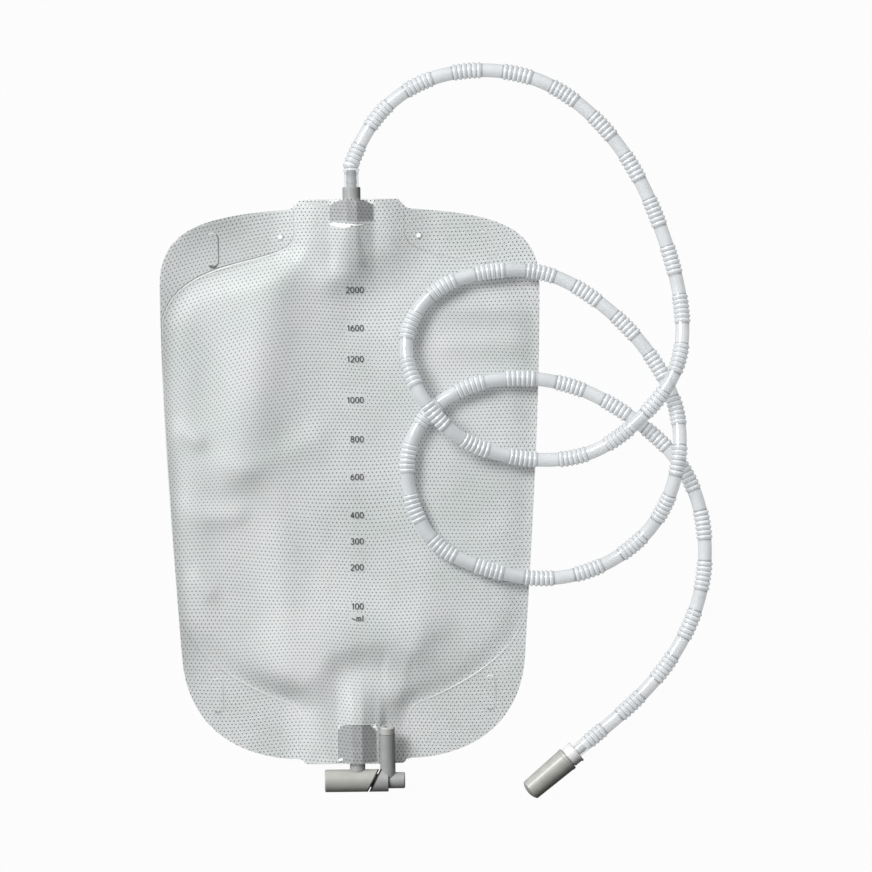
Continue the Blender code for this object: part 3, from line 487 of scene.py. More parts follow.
class Finish(Enum):
    """Every finish on the bag."""

    FRONT_FILM = DottedFilm(
        "dotted_film", (0.78, 0.795, 0.80), (0.665, 0.71, 0.70), (0.10, 0.11, 0.11), 0.50, 0.72
    )
    BACK_FILM = DottedFilm(
        "back_film_finish", (0.76, 0.79, 0.79), (0.70, 0.74, 0.73), (0.45, 0.47, 0.47),
        0.32, 0.42, row_lean=0.03,
    )
    # Pure white of the weld line, slot lips and glints: a painted highlight.
    WELD_HIGHLIGHT = PlainFilm("weld_highlight_film", (1.00, 1.00, 1.00), (0.92, 0.94, 0.94), 0.90, fading="shown")
    # Dark lines beside the weld, the slot cuts and the pin holes: painted shade.
    EDGE_SHADE = PlainFilm(
        "edge_shade_film", (0.16, 0.17, 0.17), (0.30, 0.32, 0.31), 0.55, fading="shown"
    )
    SLEEVE = PlainFilm("sleeve_film_finish", (0.74, 0.77, 0.76), (0.66, 0.70, 0.68), 0.42)
    # Colours: wall, its haze, the grooves' painted shade and the crests' painted highlight.
    TUBE = ClearTubing(
        "clear_tubing",
        (0.375, 0.39, 0.40), (0.325, 0.34, 0.35), (0.20, 0.21, 0.22), (0.58, 0.60, 0.62),
    )
    INK = PrintedInk("scale_ink", (0.030, 0.032, 0.034), (0.10, 0.10, 0.11))
    PORT = MouldedPlastic("port_grey_finish", (0.335, 0.34, 0.345), (0.405, 0.41, 0.415))
    # Barrel and rotor carry the painted shade along the slit.
    BARREL = MouldedPlastic(
        "barrel_beige_finish", (0.39, 0.39, 0.365), (0.44, 0.44, 0.41), 0.36, slit_shade_reach=0.0015
    )
    ROTOR = MouldedPlastic(
        "rotor_grey_finish", (0.34, 0.345, 0.345), (0.41, 0.415, 0.415), 0.38, slit_shade_reach=0.0015
    )
    # The plunger is near black so that the tap's slit in front of it shows dark: its colour is
    # partly painted shade.
    PLUNGER = MouldedPlastic("plunger_dark_finish", (0.050, 0.050, 0.052), (0.09, 0.09, 0.09), 0.45)
    SEAL = MouldedPlastic("seal_black_finish", (0.030, 0.030, 0.032), (0.06, 0.06, 0.06), 0.62)
    TIP = MouldedPlastic("tip_beige_finish", (0.46, 0.46, 0.445), (0.53, 0.53, 0.51), 0.40)
    CONNECTOR = MouldedPlastic(
        "connector_white_finish", (0.74, 0.745, 0.74), (0.67, 0.675, 0.67), 0.34
    )
    CAP = MouldedPlastic(
        "cap_beige_finish", (0.37, 0.37, 0.345), (0.44, 0.44, 0.41), 0.36, coat=0.25
    )
    FLOOR = PaleFloor("pale_floor", (0.16, 0.16, 0.16), 0.97)


# Mesh helpers


def add_piece(name: str, mesh: Mesh, finish: Material) -> Object:
    """Link a finished mesh as a smooth piece at the origin.

    Args:
        name: the piece's name.
        mesh: its mesh, already in place.
        finish: its material.

    Returns:
        The piece.
    """
    mesh.materials.clear()
    mesh.materials.append(finish)
    mesh.shade_smooth()
    mesh.set_sharp_from_angle(angle=math.radians(40.0))
    return link_new(name, mesh)


def link_new(name: str, data: ID) -> Object:
    """Make an object from data and link it to the scene."""
    made = bpy.data.objects.new(name, data)
    bpy.context.scene.collection.objects.link(made)
    return made


def declare(piece: Object, replaced: str = "") -> None:
    """Ride a piece on the root and let it replace a node."""
    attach(piece, "root")
    if replaced:
        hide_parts(replaced)


def store(mesh: Mesh, name: str, values: Array) -> None:
    """Keep one number for each vertex under a name."""
    mesh.attributes.new(name, "FLOAT", "POINT").data.foreach_set("value", values)


def plan_of(verts: object) -> tuple[Array, Array]:
    """X and Y of vertices."""
    return np.array([vert.co.x for vert in verts]), np.array([vert.co.y for vert in verts])


def mesh_from(name: str, bm: BMesh) -> Mesh:
    """Turn a bmesh into a mesh and free it."""
    mesh = bpy.data.meshes.new(name)
    bm.to_mesh(mesh)
    bm.free()
    return mesh


def swept(name: str, path: Array, radii: Array, rounding: int) -> Mesh:
    """Sweep a circle along a path.

    Args:
        name: name for the mesh.
        path: points of the centreline.
        radii: radius at each point.
        rounding: resolution of the circle, with 4 sides for 0 and two more a step.

    Returns:
        The open-ended skin.
    """
    curve = bpy.data.curves.new(name, "CURVE")
    curve.dimensions = "3D"
    curve.bevel_depth = 1.0
    curve.bevel_resolution = rounding
    curve.use_fill_caps = False
    spline = curve.splines.new("POLY")
    spline.points.add(len(path) - 1)
    spline.points.foreach_set("co", np.c_[path, np.ones(len(path))].ravel())
    spline.points.foreach_set("radius", radii)
    holder = bpy.data.objects.new(name, curve)
    mesh = bpy.data.meshes.new_from_object(holder)
    bpy.data.objects.remove(holder)
    bpy.data.curves.remove(curve)
    return mesh


def unit(values: Array | float) -> Array:
    """Values held between 0 and 1."""
    return np.clip(values, 0.0, 1.0)


def eased(share: Array | float) -> Array | float:
    """Share from 0 to 1 with soft ends."""
    return share * share * (3.0 - 2.0 * share)


def distances(line: Array) -> Array:
    """Distance along a line of each of its points from its start."""
    return np.concatenate([[0.0], np.cumsum(np.linalg.norm(np.diff(line, axis=0), axis=1))])


def points_at(line: Array, places: Array) -> Array:
    """Points of a line at distances from its start."""
    at = distances(line)
    return np.stack([np.interp(places, at, line[:, k]) for k in range(line.shape[1])], axis=1)


def bezier(start: Point2, first: Point2, second: Point2, end: Point2, steps: int) -> list[Point2]:
    """Points along a cubic curve, without its end."""
    share = np.linspace(0.0, 1.0, steps, endpoint=False)[:, None]
    p, q, r, s = (np.array(point) for point in (start, first, second, end))
    line = (1 - share) ** 3 * p + 3 * (1 - share) ** 2 * share * q
    line = line + 3 * (1 - share) * share**2 * r + share**3 * s
    return [tuple(point) for point in line]


def mirrored(half: list[Point2]) -> list[Point2]:
    """Close a right-hand half outline, bottom to top, with its mirror image."""
    return half + [(-x, y) for x, y in reversed(half) if x > 0.0]


def nearest_on(line: Array, x: Array, y: Array, closed: bool) -> Array:
    """Distance from each point to a broken line.

    Args:
        line: its corners, one row each.
        x: places along X.
        y: places along Y.
        closed: whether the last corner joins the first.

    Returns:
        The distances.
    """
    ends = np.roll(line, -1, axis=0) if closed else line[1:]
    nearest = np.full(x.shape, np.inf)
    for (ax, ay), (bx, by) in zip(line, ends):
        dx, dy = bx - ax, by - ay
        share = unit(((x - ax) * dx + (y - ay) * dy) / (dx * dx + dy * dy))
        nearest = np.minimum(nearest, np.hypot(x - ax - share * dx, y - ay - share * dy))
    return nearest


def inside_of(line: Array, x: Array, y: Array) -> Array:
    """Whether each point lies inside a closed line."""
    inside = np.zeros(x.shape, bool)
    for (ax, ay), (bx, by) in zip(line, np.roll(line, -1, axis=0)):
        if ay != by:
            inside ^= ((ay > y) != (by > y)) & (x < ax + (y - ay) * (bx - ax) / (by - ay))
    return inside


# Shape of the bag


@dataclass(frozen=True)
class PortSeat:
    """Where a port holds the films apart, and how far round it they stay lifted."""

    width: float
    low: float
    high: float
    fall_left: float
    fall_right: float
    fall_end: float
    middle: float = 0.0016
    thickness: float = 0.0110
    ridge: float = 0.0056
    edge: float = 0.0008
    margin: float = 0.0006

    def half_height(self, x: Array) -> Array:
        """Half thickness of the port at a distance from its middle."""
        ridge = self.ridge / 2
        share = unit((np.abs(x - self.middle) - ridge) / (self.width / 2 - ridge))
        return self.thickness / 2 + share * (self.edge - self.thickness) / 2

    def lift(self, x: Array, y: Array) -> Array:
        """1 at the port, falling smoothly to 0 away from it."""
        reach = self.width / 2 + self.margin
        left = (self.middle - reach - x) / self.fall_left
        right = (x - self.middle - reach) / self.fall_right
        across = np.maximum(np.maximum(left, right), 0.0)
        over = np.maximum(y - self.high, self.low - y) - self.margin
        ends = np.maximum(over, 0.0) / self.fall_end
        return 0.5 * (1.0 + np.cos(np.pi * np.minimum(np.hypot(across, ends), 1.0)))


@dataclass(frozen=True)
class BagShape:
    """Cut of the films, their weld, and the heights at which they lie."""

    gap: float = 0.0003
    film: float = 0.0003
    width: float = 0.2152
    length: float = 0.3200
    foot_width: float = 0.1946
    shoulder_drop: float = 0.0477
    foot_rise: float = 0.0616
    tab_width: float = 0.0572
    top_tab: float = 0.0057
    bottom_tab: float = 0.0029
    middle_y: float = -0.00025
    axis_z: float = 0.0064
    slot_x: float = 0.0773
    slot_length: float = 0.0193
    slot_width: float = 0.0060
    slot_cut: float = 0.00016
    top_slot_drop: float = 0.0281
    bottom_slot_rise: float = 0.0393
    pin_hole: float = 0.0026
    pin_hole_x: float = 0.0393
    pin_hole_drop: float = 0.0207
    slope: float = 0.0100
    stand_left: float = 0.0040
    stand_right: float = 0.0021
    curl_height: float = 0.0062
    curl_width: float = 0.0140
    curl_line: tuple[Point2, ...] = ((-0.1000, -0.0800), (-0.1060, 0.1050), (-0.0850, 0.1450))
    curl_reach: float = 0.0300
    pressed_from: float = -0.030
    pressed_to: float = 0.022

    @property
    def top(self) -> float:
        """Upper end of the films along Y."""
        return self.middle_y + self.length / 2

    @property
    def bottom(self) -> float:
        """Lower end of the films along Y."""
        return self.middle_y - self.length / 2

    @property
    def seats(self) -> tuple[PortSeat, PortSeat]:
        """The inlet's seat and the outlet's seat."""
        inlet = PortSeat(0.0250, self.top - 0.0177, self.top, 0.034, 0.034, 0.040)
        outlet = PortSeat(0.0221, self.bottom, self.bottom + 0.0219, 0.032, 0.0050, 0.034)
        return inlet, outlet

    def outline(self, finer: int = 3) -> list[Point2]:
        """Edge of the die-cut films.

        Each row has a curve's start, its two handles, its end and its steps. What is
        added to a corner there sets how full the curve is.

        Args:
            finer: how many times as many points each curve gets as its solid has.

        Returns:
            The closed outline, counter-clockwise.
        """
        tab = self.tab_width / 2
        foot = (self.foot_width / 2, self.bottom + self.foot_rise)
        shoulder = (self.width / 2, self.top - self.shoulder_drop)
        foot_root = (tab + 0.0080, self.bottom + self.bottom_tab)
        top_root = (tab + 0.0090, self.top - self.top_tab)
        taper = (self.width - self.foot_width) / 2
        half = [(tab - 0.0015, self.bottom), (tab, self.bottom + 0.0008)]
        curves = (
            ((tab + 0.0006, self.bottom + self.bottom_tab * 0.7), (tab + 0.0020, foot_root[1]),
             (tab + 0.0040, foot_root[1]), foot_root, 3),
            (foot_root, (foot_root[0] + 0.0285, foot_root[1] + 0.0022),
             (foot[0] - 0.0023, foot[1] - 0.0416), foot, 9),
            (foot, (foot[0] + taper * 0.45, foot[1] + 0.070),
             (shoulder[0], shoulder[1] - 0.060), shoulder, 6),
            (shoulder, (shoulder[0], shoulder[1] + 0.0300),
             (top_root[0] + 0.0480, top_root[1] - 0.0033), top_root, 9),
            (top_root, (top_root[0] - 0.0045, top_root[1]),
             (tab + 0.0025, top_root[1] + 0.0012), (tab, self.top - 0.0006), 4),
        )
        half += self._drawn(curves, finer)
        half += [(tab, self.top - 0.0006), (tab - 0.0008, self.top)]
        return mirrored(half)

    @staticmethod
    def _drawn(curves: tuple[tuple, ...], finer: int) -> list[Point2]:
        """Points along a row of curves."""
        points: list[Point2] = []
        for *corners, steps in curves:
            points += bezier(*corners, steps * finer)
        return points

    def chamber(self, finer: int = 3) -> list[Point2]:
        """Inner edge of the weld, with a neck round each port. Its rows are as in outline."""
        neck = 0.0302
        side_low = (self.foot_width / 2 + 0.0003, self.bottom + 0.0860)
        side_high = (self.width / 2 - 0.0017, self.top - 0.0680)
        low = (0.0417, self.bottom + 0.0366)
        high = (0.0528, self.top - 0.0335)
        half = [(neck, self.bottom)]
        curves = (
            ((neck, low[1] - 0.0120), (neck, low[1] - 0.0045),
             (low[0] - 0.006, low[1] - 0.0022), low, 4),
            (low, (low[0] + 0.020, low[1] + 0.008),
             (side_low[0] - 0.004, side_low[1] - 0.024), side_low, 8),
            (side_low, (side_low[0] + 0.0040, side_low[1] + 0.050),
             (side_high[0], side_high[1] - 0.050), side_high, 5),
            (side_high, (side_high[0] - 0.005, side_high[1] + 0.023),
             (high[0] + 0.022, high[1] - 0.005), high, 8),
            (high, (high[0] - 0.0150, high[1] + 0.0040), (neck, high[1] + 0.0065),
             (neck, high[1] + 0.0155), 4),
        )
        half += self._drawn(curves, finer)
        half += [(neck, high[1] + 0.0155), (neck, self.top)]
        return mirrored(half)

    def flat_area(self) -> float:
        """Area of one film as it is cut."""
        x, y = np.array(self.outline()).T
        return float(abs(np.sum(x * np.roll(y, -1) - y * np.roll(x, -1))) / 2)

    def back_top(self, x: Array, y: Array) -> Array:
        """Upper face of the back film: flat on the table, cupped under the ports."""
        height = np.full(x.shape, self.film)
        for seat in self.seats:
            cup = self.axis_z - seat.half_height(x) - self.gap - self.film
            height = height + seat.lift(x, y) * cup
        return height + self._curl(x, y)

    def _curl(self, x: Array, y: Array) -> Array:
        """Rise of the upper left corner, where the edge has curled off the table."""
        inward = nearest_on(np.array(self.outline(1)), x, y, True)
        away = nearest_on(np.array(self.curl_line), x, y, False)
        share = np.exp(-inward / self.curl_width - (away / self.curl_reach) ** 2)
        return self.curl_height * share

    def stand(self, x: Array, y: Array) -> Array:
        """How far the front film stands off the back film inside the weld."""
        pressed = eased(unit((x - self.pressed_from) / (self.pressed_to - self.pressed_from)))
        full = self.stand_left + pressed * (self.stand_right - self.stand_left)
        return full * self.within(x, y, self.slope)

    def within(self, x: Array, y: Array, slope: float) -> Array:
        """0 outside the weld, rising to 1 inside it over a slope."""
        line = np.array(self.chamber(1))
        depth = np.where(inside_of(line, x, y), nearest_on(line, x, y, True), 0.0)
        return 1.0 - np.exp(-((depth / slope) ** 2))

    def free(self, x: Array, y: Array) -> Array:
        """1 away from the ports and 0 on them."""
        share = np.ones(x.shape)
        for seat in self.seats:
            share = share - seat.lift(x, y)
        return share

    def front_bottom(self, x: Array, y: Array) -> Array:
        """Lower face of the front film before its folds."""
        height = self.back_top(x, y) + self.gap
        for seat in self.seats:
            height = height + seat.lift(x, y) * (2.0 * seat.half_height(x) + self.gap)
        return height + self.free(x, y) * self.stand(x, y)


# Drainage tube


PATH_POINTS = 3000


@dataclass
class DrainageTube:
    """Clear tube with ribbed stretches, from the inlet's shoulder to the connector."""

    length: float = 1.40
    crest_diameter: float = 0.0093
    smooth_diameter: float = 0.0078
    bore_diameter: float = 0.0056
    valley_diameter: float = 0.0076
    first_ribs: float = 0.0163
    section_step: float = 0.028725
    ribbed_length: float = 0.0165
    ribs: int = 6
    rib_steps: int = 8
    rib_fullness: float = 1.5
    rib_fade: float = 0.0008
    # Share of each rib's wave that gets the painted highlight.
    highlight_share: float = 0.4
    smooth_step: float = 0.0016
    seam: float = 0.0004
    smooth_end: float = 0.0075
    spigot_length: float = 0.0098
    connector_spigot: float = 0.0057
    spigot_bore: float = 0.0064
    spigot_outside: float = 0.0082
    cleared: float = 0.6
    straight: float = 0.0030
    rounding: int = 8
    bore_step: float = 0.0020
    shoulder: Point3 = (0.0016, 0.16655, 0.0064)
    collar: Point3 = (0.1257, -0.15435, 0.00705)
    direction: Point3 = (-0.7700223, -0.6380185, 0.0)
    floor: float = 0.00005
    edge: float = 0.0015
    bag: float = 0.0034
    path: Array = field(init=False)

    def route(self) -> list[Point3]:
        """The tube's route: x, y and the height of its underside."""
        floor, edge, bag = self.floor, self.edge, self.bag
        return [
            (0.0061, 0.1895, 0.0010), (0.0188, 0.2087, floor), (0.0411, 0.2249, floor),
            (0.0752, 0.2320, floor), (0.1098, 0.2253, floor), (0.1396, 0.2045, floor),
            (0.1609, 0.1765, floor), (0.1781, 0.1371, 0.0004), (0.1878, 0.0939, 0.0045),
            (0.1835, 0.0605, 0.0120), (0.1639, 0.0340, 0.0104), (0.1330, 0.0139, 0.0040),
            (0.0955, 0.0120, bag - 0.0002), (0.0627, 0.0234, 0.0104), (0.0386, 0.0501, 0.0136),
            (0.0322, 0.0814, 0.0046), (0.0466, 0.1053, bag), (0.0774, 0.1175, bag - 0.0008),
            (0.1109, 0.1163, edge), (0.1430, 0.0983, floor), (0.1699, 0.0694, 0.0004),
            (0.1844, 0.0372, 0.0046), (0.1843, 0.0065, 0.0110), (0.1712, -0.0254, 0.0024),
            (0.1443, -0.0478, floor), (0.1113, -0.0563, edge), (0.0778, -0.0511, bag),
            (0.0479, -0.0360, bag), (0.0326, -0.0063, bag), (0.0361, 0.0271, bag),
            (0.0602, 0.0499, bag), (0.0926, 0.0572, bag - 0.0004), (0.1272, 0.0517, 0.0003),
            (0.1599, 0.0335, floor), (0.1869, 0.0065, floor), (0.1995, -0.0339, floor),
            (0.1951, -0.0714, floor), (0.1731, -0.1114, floor),
        ]

    def __post_init__(self) -> None:
        """Work out the centreline."""
        shoulder = np.array(self.shoulder)
        collar = np.array(self.collar)
        direction = np.array(self.direction)
        first = shoulder + (0.0, self.spigot_length, 0.0)
        last = collar - direction * self.connector_spigot
        radius = self.crest_diameter / 2
        middle = [(x, y, low + radius) for x, y, low in self.route()]
        after = first + (0.0, self.straight, 0.0)
        before = last - direction * self.straight
        curve = self._smooth(np.array([after, *middle, before]))
        curve[:, 2] = np.maximum(curve[:, 2], self.floor + radius)
        self.path = np.array([shoulder, first, *curve, last, collar])

    @staticmethod
    def _smooth(points: Array) -> Array:
        """Natural cubic spline through the points.

        Args:
            points: the points, one row each.

        Returns:
            Close points along the curve.
        """
        at = distances(points)
        count = len(points)
        system = np.eye(count)
        target = np.zeros((count, 3))
        for i in range(1, count - 1):
            before, after = at[i] - at[i - 1], at[i + 1] - at[i]
            system[i, i - 1 : i + 2] = before, 2.0 * (before + after), after
            rises = (points[i + 1] - points[i]) / after - (points[i] - points[i - 1]) / before
            target[i] = 6.0 * rises
        bend = np.linalg.solve(system, target)
        fine = np.linspace(0.0, at[-1], PATH_POINTS)
        i = np.clip(np.searchsorted(at, fine, side="right") - 1, 0, count - 2)
        step = (at[i + 1] - at[i])[:, None]
        b = (fine - at[i])[:, None] / step
        a = 1.0 - b
        curve = a * points[i] + b * points[i + 1]
        return curve + ((a**3 - a) * bend[i] + (b**3 - b) * bend[i + 1]) * step**2 / 6.0

    def _offset(self, places: Array) -> Array:
        """Distance of each place from the middle of the nearest ribbed stretch."""
        half = self.section_step / 2
        return (places - self.first_ribs + half) % self.section_step - half

    def _on_spigots(self, places: Array, total: float, over: float, fall: float) -> Array:
        """1 where the tube is stretched over a spigot, 0 elsewhere.

        Args:
            places: distances from the shoulder.
            total: the tube's length.
            over: how far past a spigot's tip the stretch reaches.
            fall: length over which it ends.

        Returns:
            The share at each place.
        """
        start = unit((self.spigot_length + over - places) / fall)
        end = unit((places - total + self.connector_spigot + over) / fall)
        return np.maximum(start, end)

    def _ring_places(self, total: float) -> Array:
        """Distances at which the outside gets a ring of points."""
        half = self.ribbed_length / 2
        fine = self.ribbed_length / self.ribs / self.rib_steps
        places = list(np.arange(0.0, total, self.smooth_step)) + [total]
        middle = self.first_ribs
        while middle - half < total:
            places = [p for p in places if abs(p - middle) > half + self.seam]
            ribbed = np.arange(middle - half, middle + half + fine / 2, fine)
            places += [p for p in ribbed if p < total]
            middle += self.section_step
        return np.array(sorted(places + ([total] if total not in places else [])))

    def _outside(self, places: Array, total: float) -> Array:
        """Outer radius at each distance."""
        diameters = self.smooth_diameter, self.valley_diameter, self.crest_diameter
        smooth, valley, crest = (diameter / 2 for diameter in diameters)
        offset = self._offset(places)
        wave = 0.5 * (1.0 + np.cos(math.tau * (offset / (self.ribbed_length / self.ribs) + 0.5)))
        wave = 1.0 - (1.0 - wave) ** self.rib_fullness
        ribbed = valley + (crest - valley) * wave
        edge = unit((self.ribbed_length / 2 - np.abs(offset)) / self.rib_fade)
        edge = edge * unit((total - self.smooth_end - places) / self.rib_fade)
        radius = smooth + edge * (ribbed - smooth)
        start = unit((self.spigot_length - places) / self.smooth_step)
        return np.maximum(radius, smooth + start * (self.spigot_outside / 2 - smooth))

    def _rib(self, places: Array, total: float) -> Array:
        """1 on each rib's flanks, where the finish paints a highlight, -1 at the bottom of each
        groove, where it paints shade, 0 on smooth walls.
        """
        offset = self._offset(places)
        wave = -np.cos(math.tau * offset / (self.ribbed_length / self.ribs))
        between = np.abs(offset) < self.ribbed_length / 2 + self.seam
        between &= places < total - self.smooth_end
        flank = unit(1.0 - np.abs(wave) / self.highlight_share)
        groove = unit((self.highlight_share - 1.0 - wave) / self.highlight_share)
        return np.where(between, flank - groove, 0.0)

    def _milky(self, places: Array, total: float) -> Array:
        """How milky the wall looks at each distance: less where it is stretched over a spigot."""
        return 1.0 - self.cleared * self._on_spigots(places, total, 0.0010, 0.0020)

    def _mark(
        self,
        mesh: Mesh,
        centres: Array,
        radii: Array,
        ribs: Array,
        walls: Array,
    ) -> None:
        """Store how each vertex of a swept skin looks.

        Args:
            mesh: the skin, ring by ring.
            centres: middle of each ring.
            radii: radius of each ring.
            ribs: rib value of each ring.
            walls: how milky the upper side of each ring is.
        """
        count = len(mesh.vertices)
        sides = count // len(ribs)
        heights = np.empty(count * 3)
        mesh.vertices.foreach_get("co", heights)
        raised = (heights[2::3] - np.repeat(centres[:, 2], sides)) / np.repeat(radii, sides)
        finish = Finish.TUBE.value
        store(mesh, finish.rib_name, np.repeat(ribs, sides))
        store(mesh, finish.wall_name, unit(raised * 2.0 + 0.5) * np.repeat(walls, sides))

    def _inside(self, places: Array, total: float) -> Array:
        """Bore radius at each distance, stretched over the spigots."""
        bore, wide = self.bore_diameter / 2, self.spigot_bore / 2
        return bore + self._on_spigots(places, total, 0.0012, 0.0010) * (wide - bore)

    def build(self) -> Object:
        total = float(distances(self.path)[-1])
        places = self._ring_places(total)
        centres, radii = points_at(self.path, places), self._outside(places, total)
        outer = swept("tube_outside", centres, radii, self.rounding)
        self._mark(outer, centres, radii, self._rib(places, total), self._milky(places, total))
        places = np.linspace(0.0, total, round(total / self.bore_step))
        centres, radii = points_at(self.path, places), self._inside(places, total)
        inner = swept("tube_inside", centres, radii, self.rounding)
        plain = np.zeros(len(places))
        self._mark(inner, centres, radii, plain, plain)
        bm = bmesh.new()
        bm.from_mesh(inner)
        bmesh.ops.reverse_faces(bm, faces=bm.faces)
        bm.from_mesh(outer)
        ends = [edge for edge in bm.edges if edge.is_boundary]
        for near in (self.path[0], self.path[-1]):
            rim = [e for e in ends if (e.verts[0].co - Vector(near)).length < 0.01]
            bmesh.ops.bridge_loops(bm, edges=rim)
        for mesh in (outer, inner):
            bpy.data.meshes.remove(mesh)
        piece = add_piece("clear_tube", mesh_from("clear_tube", bm), Finish.TUBE.value.make())
        piece.data.shade_smooth()
        declare(piece, "drainage_tube")
        LOG.info("clear_tube: %.4f m long", total)
        return piece


# Bag films


@dataclass(frozen=True)
class Fold:
    """A soft ridge, or a valley where its height is below zero."""

    line: tuple[Point2, ...]
    width: float
    height: float
    lee: float = 1.0
    step: float = 0.0005
    turn_sharpness: float = 0.7
    stretch: float = 1.5

    def rise(self, x: Array, y: Array) -> Array:
        """Height that the fold adds at each point, narrower towards the lower right."""
        line, step = np.array(self.line), self.step
        away = nearest_on(line, x, y, False)
        turned = (nearest_on(line, x + step, y - step, False) - away) / (step * math.sqrt(2.0))
        behind = unit(0.5 + self.turn_sharpness * turned)
        width = self.width * (1.0 - behind * (1.0 - self.lee))
        return self.stretch * self.height * np.exp(-((away / width) ** 2))


FAINT = 0.10


@dataclass(frozen=True)
class Mark:
    """Place round which the painted highlights and painted shade of the weld and cuts show clearly.
    """

    x: float
    y: float
    reach: float
    share: float


@dataclass
class BagFilms:
    """The two films, with their folds, the welded line round the chamber with its painted
    highlight, and lines of painted shade.
    """

    shape: BagShape
    tube: DrainageTube
    cell: float = 0.0015
    skin: float = 0.0002
    ripple: float = 0.00022
    fold_slope: float = 0.0080
    least_gap: float = 0.00015
    tube_gap: float = 0.00025
    tube_margin: Point2 = (0.0012, 0.0009)
    tube_window: Point2 = (0.12, 0.165)
    waves: tuple[tuple[Point3, float], ...] = (
        ((0.030, 0.040, 3.7), 1.6),
        ((0.011, 0.014, 9.1), 0.7),
    )
    back_sink: float = 0.0001
    back_floor: float = 0.00002
    tab_margin: float = 0.001
    bead_step: float = 0.0016
    bead_flatness: float = 0.35
    # Beads on the front film. The white weld line, slot lips, top band and glints are painted
    # highlights. The shade bead, slot shade and pin rings are painted shade.
    weld_highlight_bead: Point2 = (0.0002, 0.00032)
    shade_bead: Point2 = (0.0011, 0.00020)
    slot_lip: float = 0.00045
    slot_shade: float = 0.00036
    slot_end_shade: float = 0.00080
    band_drop: float = 0.0034
    band_ends: Point2 = (-0.027, 0.029)
    band_bead: float = 0.00022
    pin_ring: float = 0.0019
    # Where the painted highlight of the weld and cuts shows, strongest at the upper left.
    highlight_marks: tuple[Mark, ...] = (
        Mark(-0.070, 0.118, 0.042, 0.9),
        Mark(-0.060, -0.122, 0.030, 0.5),
        Mark(0.066, -0.116, 0.034, 0.7),
        Mark(0.0, 0.157, 0.022, 0.5),
        Mark(-0.002, 0.1445, 0.012, 0.9),
        Mark(-0.011, -0.158, 0.007, 0.9),
    )
    # Glints: white beads painted as highlights below the inlet block and at the lower tab.
    glints: tuple[tuple[tuple[Point2, ...], float], ...] = (
        (((-0.0106, 0.1458), (-0.0070, 0.1444), (-0.0025, 0.1438), (0.0010, 0.1441)), 0.0006),
        (((-0.0090, 0.1462), (-0.0050, 0.1453), (0.0000, 0.1452), (0.0045, 0.1446),
          (0.0078, 0.1450)), 0.0004),
        (((-0.0160, -0.1591), (-0.0140, -0.1586)), 0.0006),
        (((-0.0092, -0.1582), (-0.0066, -0.1575)), 0.0008),
    )
    # Where the painted shade of the weld and cuts shows.
    shade_marks: tuple[Mark, ...] = (
        Mark(-0.075, 0.120, 0.042, 0.9),
        Mark(0.039, 0.139, 0.008, 0.6),
        Mark(0.070, -0.112, 0.026, 0.25),
        Mark(-0.077, -0.121, 0.016, 0.2),
    )

    def folds(self) -> list[Fold]:
        """Folds of the front film, listed one by one."""
        return [
            Fold(((-0.0385, 0.1371), (-0.0440, 0.1031), (-0.0520, 0.0635), (-0.0590, 0.0295),
                  (-0.0640, 0.0114)), 0.0200, 0.0037, 0.88),
            Fold(((0.0334, 0.1432), (0.0128, 0.1321), (-0.0112, 0.1153)), 0.0095, 0.0024),
            Fold(((0.0144, 0.1050), (0.0010, 0.0880)), 0.0120, -0.0008),
            Fold(((-0.0578, 0.0069), (-0.0378, 0.0152), (-0.0207, 0.0235)), 0.0080, 0.0008),
            Fold(((-0.0949, -0.0143), (-0.0836, -0.0201), (-0.0665, -0.0186)), 0.0070, 0.0010),
            Fold(((-0.0980, 0.0290), (-0.0880, 0.0240)), 0.0060, 0.0012),
            Fold(((-0.0900, -0.0560), (-0.0820, -0.0620)), 0.0060, 0.0010),
            Fold(((-0.0420, 0.0010), (-0.0400, -0.0672), (-0.0390, -0.1100)), 0.0100, 0.0009),
            Fold(((-0.0692, -0.1077), (-0.0523, -0.1181), (-0.0308, -0.1251)), 0.0060, 0.0009),
            Fold(((-0.0230, -0.1080), (-0.0150, -0.0960), (0.0040, -0.0900), (0.0200, -0.0900),
                  (0.0330, -0.0930)), 0.0300, 0.0036, 0.42),
            Fold(((-0.0190, -0.1250), (0.0040, -0.1205), (0.0240, -0.1235)), 0.0130, 0.0024),
            Fold(((0.0402, -0.1160), (0.0573, -0.1117), (0.0727, -0.1016)), 0.0060, 0.0003),
            Fold(((0.0568, 0.0960), (0.0851, 0.0965), (0.1000, 0.0955)), 0.0060, 0.0006),
            Fold(((0.0565, 0.0760), (0.0849, 0.0760), (0.1000, 0.0750)), 0.0060, 0.0006),
        ]

    def _beneath_tube(self, x: Array, y: Array) -> Array:
        """Highest that the film may lie, so that it stays under the tube."""
        aside, below = self.tube_margin
        radius = self.tube.crest_diameter / 2 + aside
        limit = np.full(x.shape, np.inf)
        path = self.tube.path
        near = np.all(np.abs(path[:, :2]) < self.tube_window, axis=1)
        for px, py, pz in path[near]:
            away = np.hypot(x - px, y - py)
            low = pz - np.sqrt(np.maximum(radius**2 - away**2, 0.0)) + below
            limit = np.where(away < radius, np.minimum(limit, low), limit)
        return limit

    def _ripples(self, x: Array, y: Array) -> Array:
        """Small uneven waves of a film that has been folded in its packing."""
        heights = np.zeros(x.shape)
        for (wide, long, level), share in self.waves:
            places = (Vector((px / wide, py / long, level)) for px, py in zip(x, y))
            heights = heights + share * np.array([noise.noise(place) for place in places])
        return heights * self.ripple

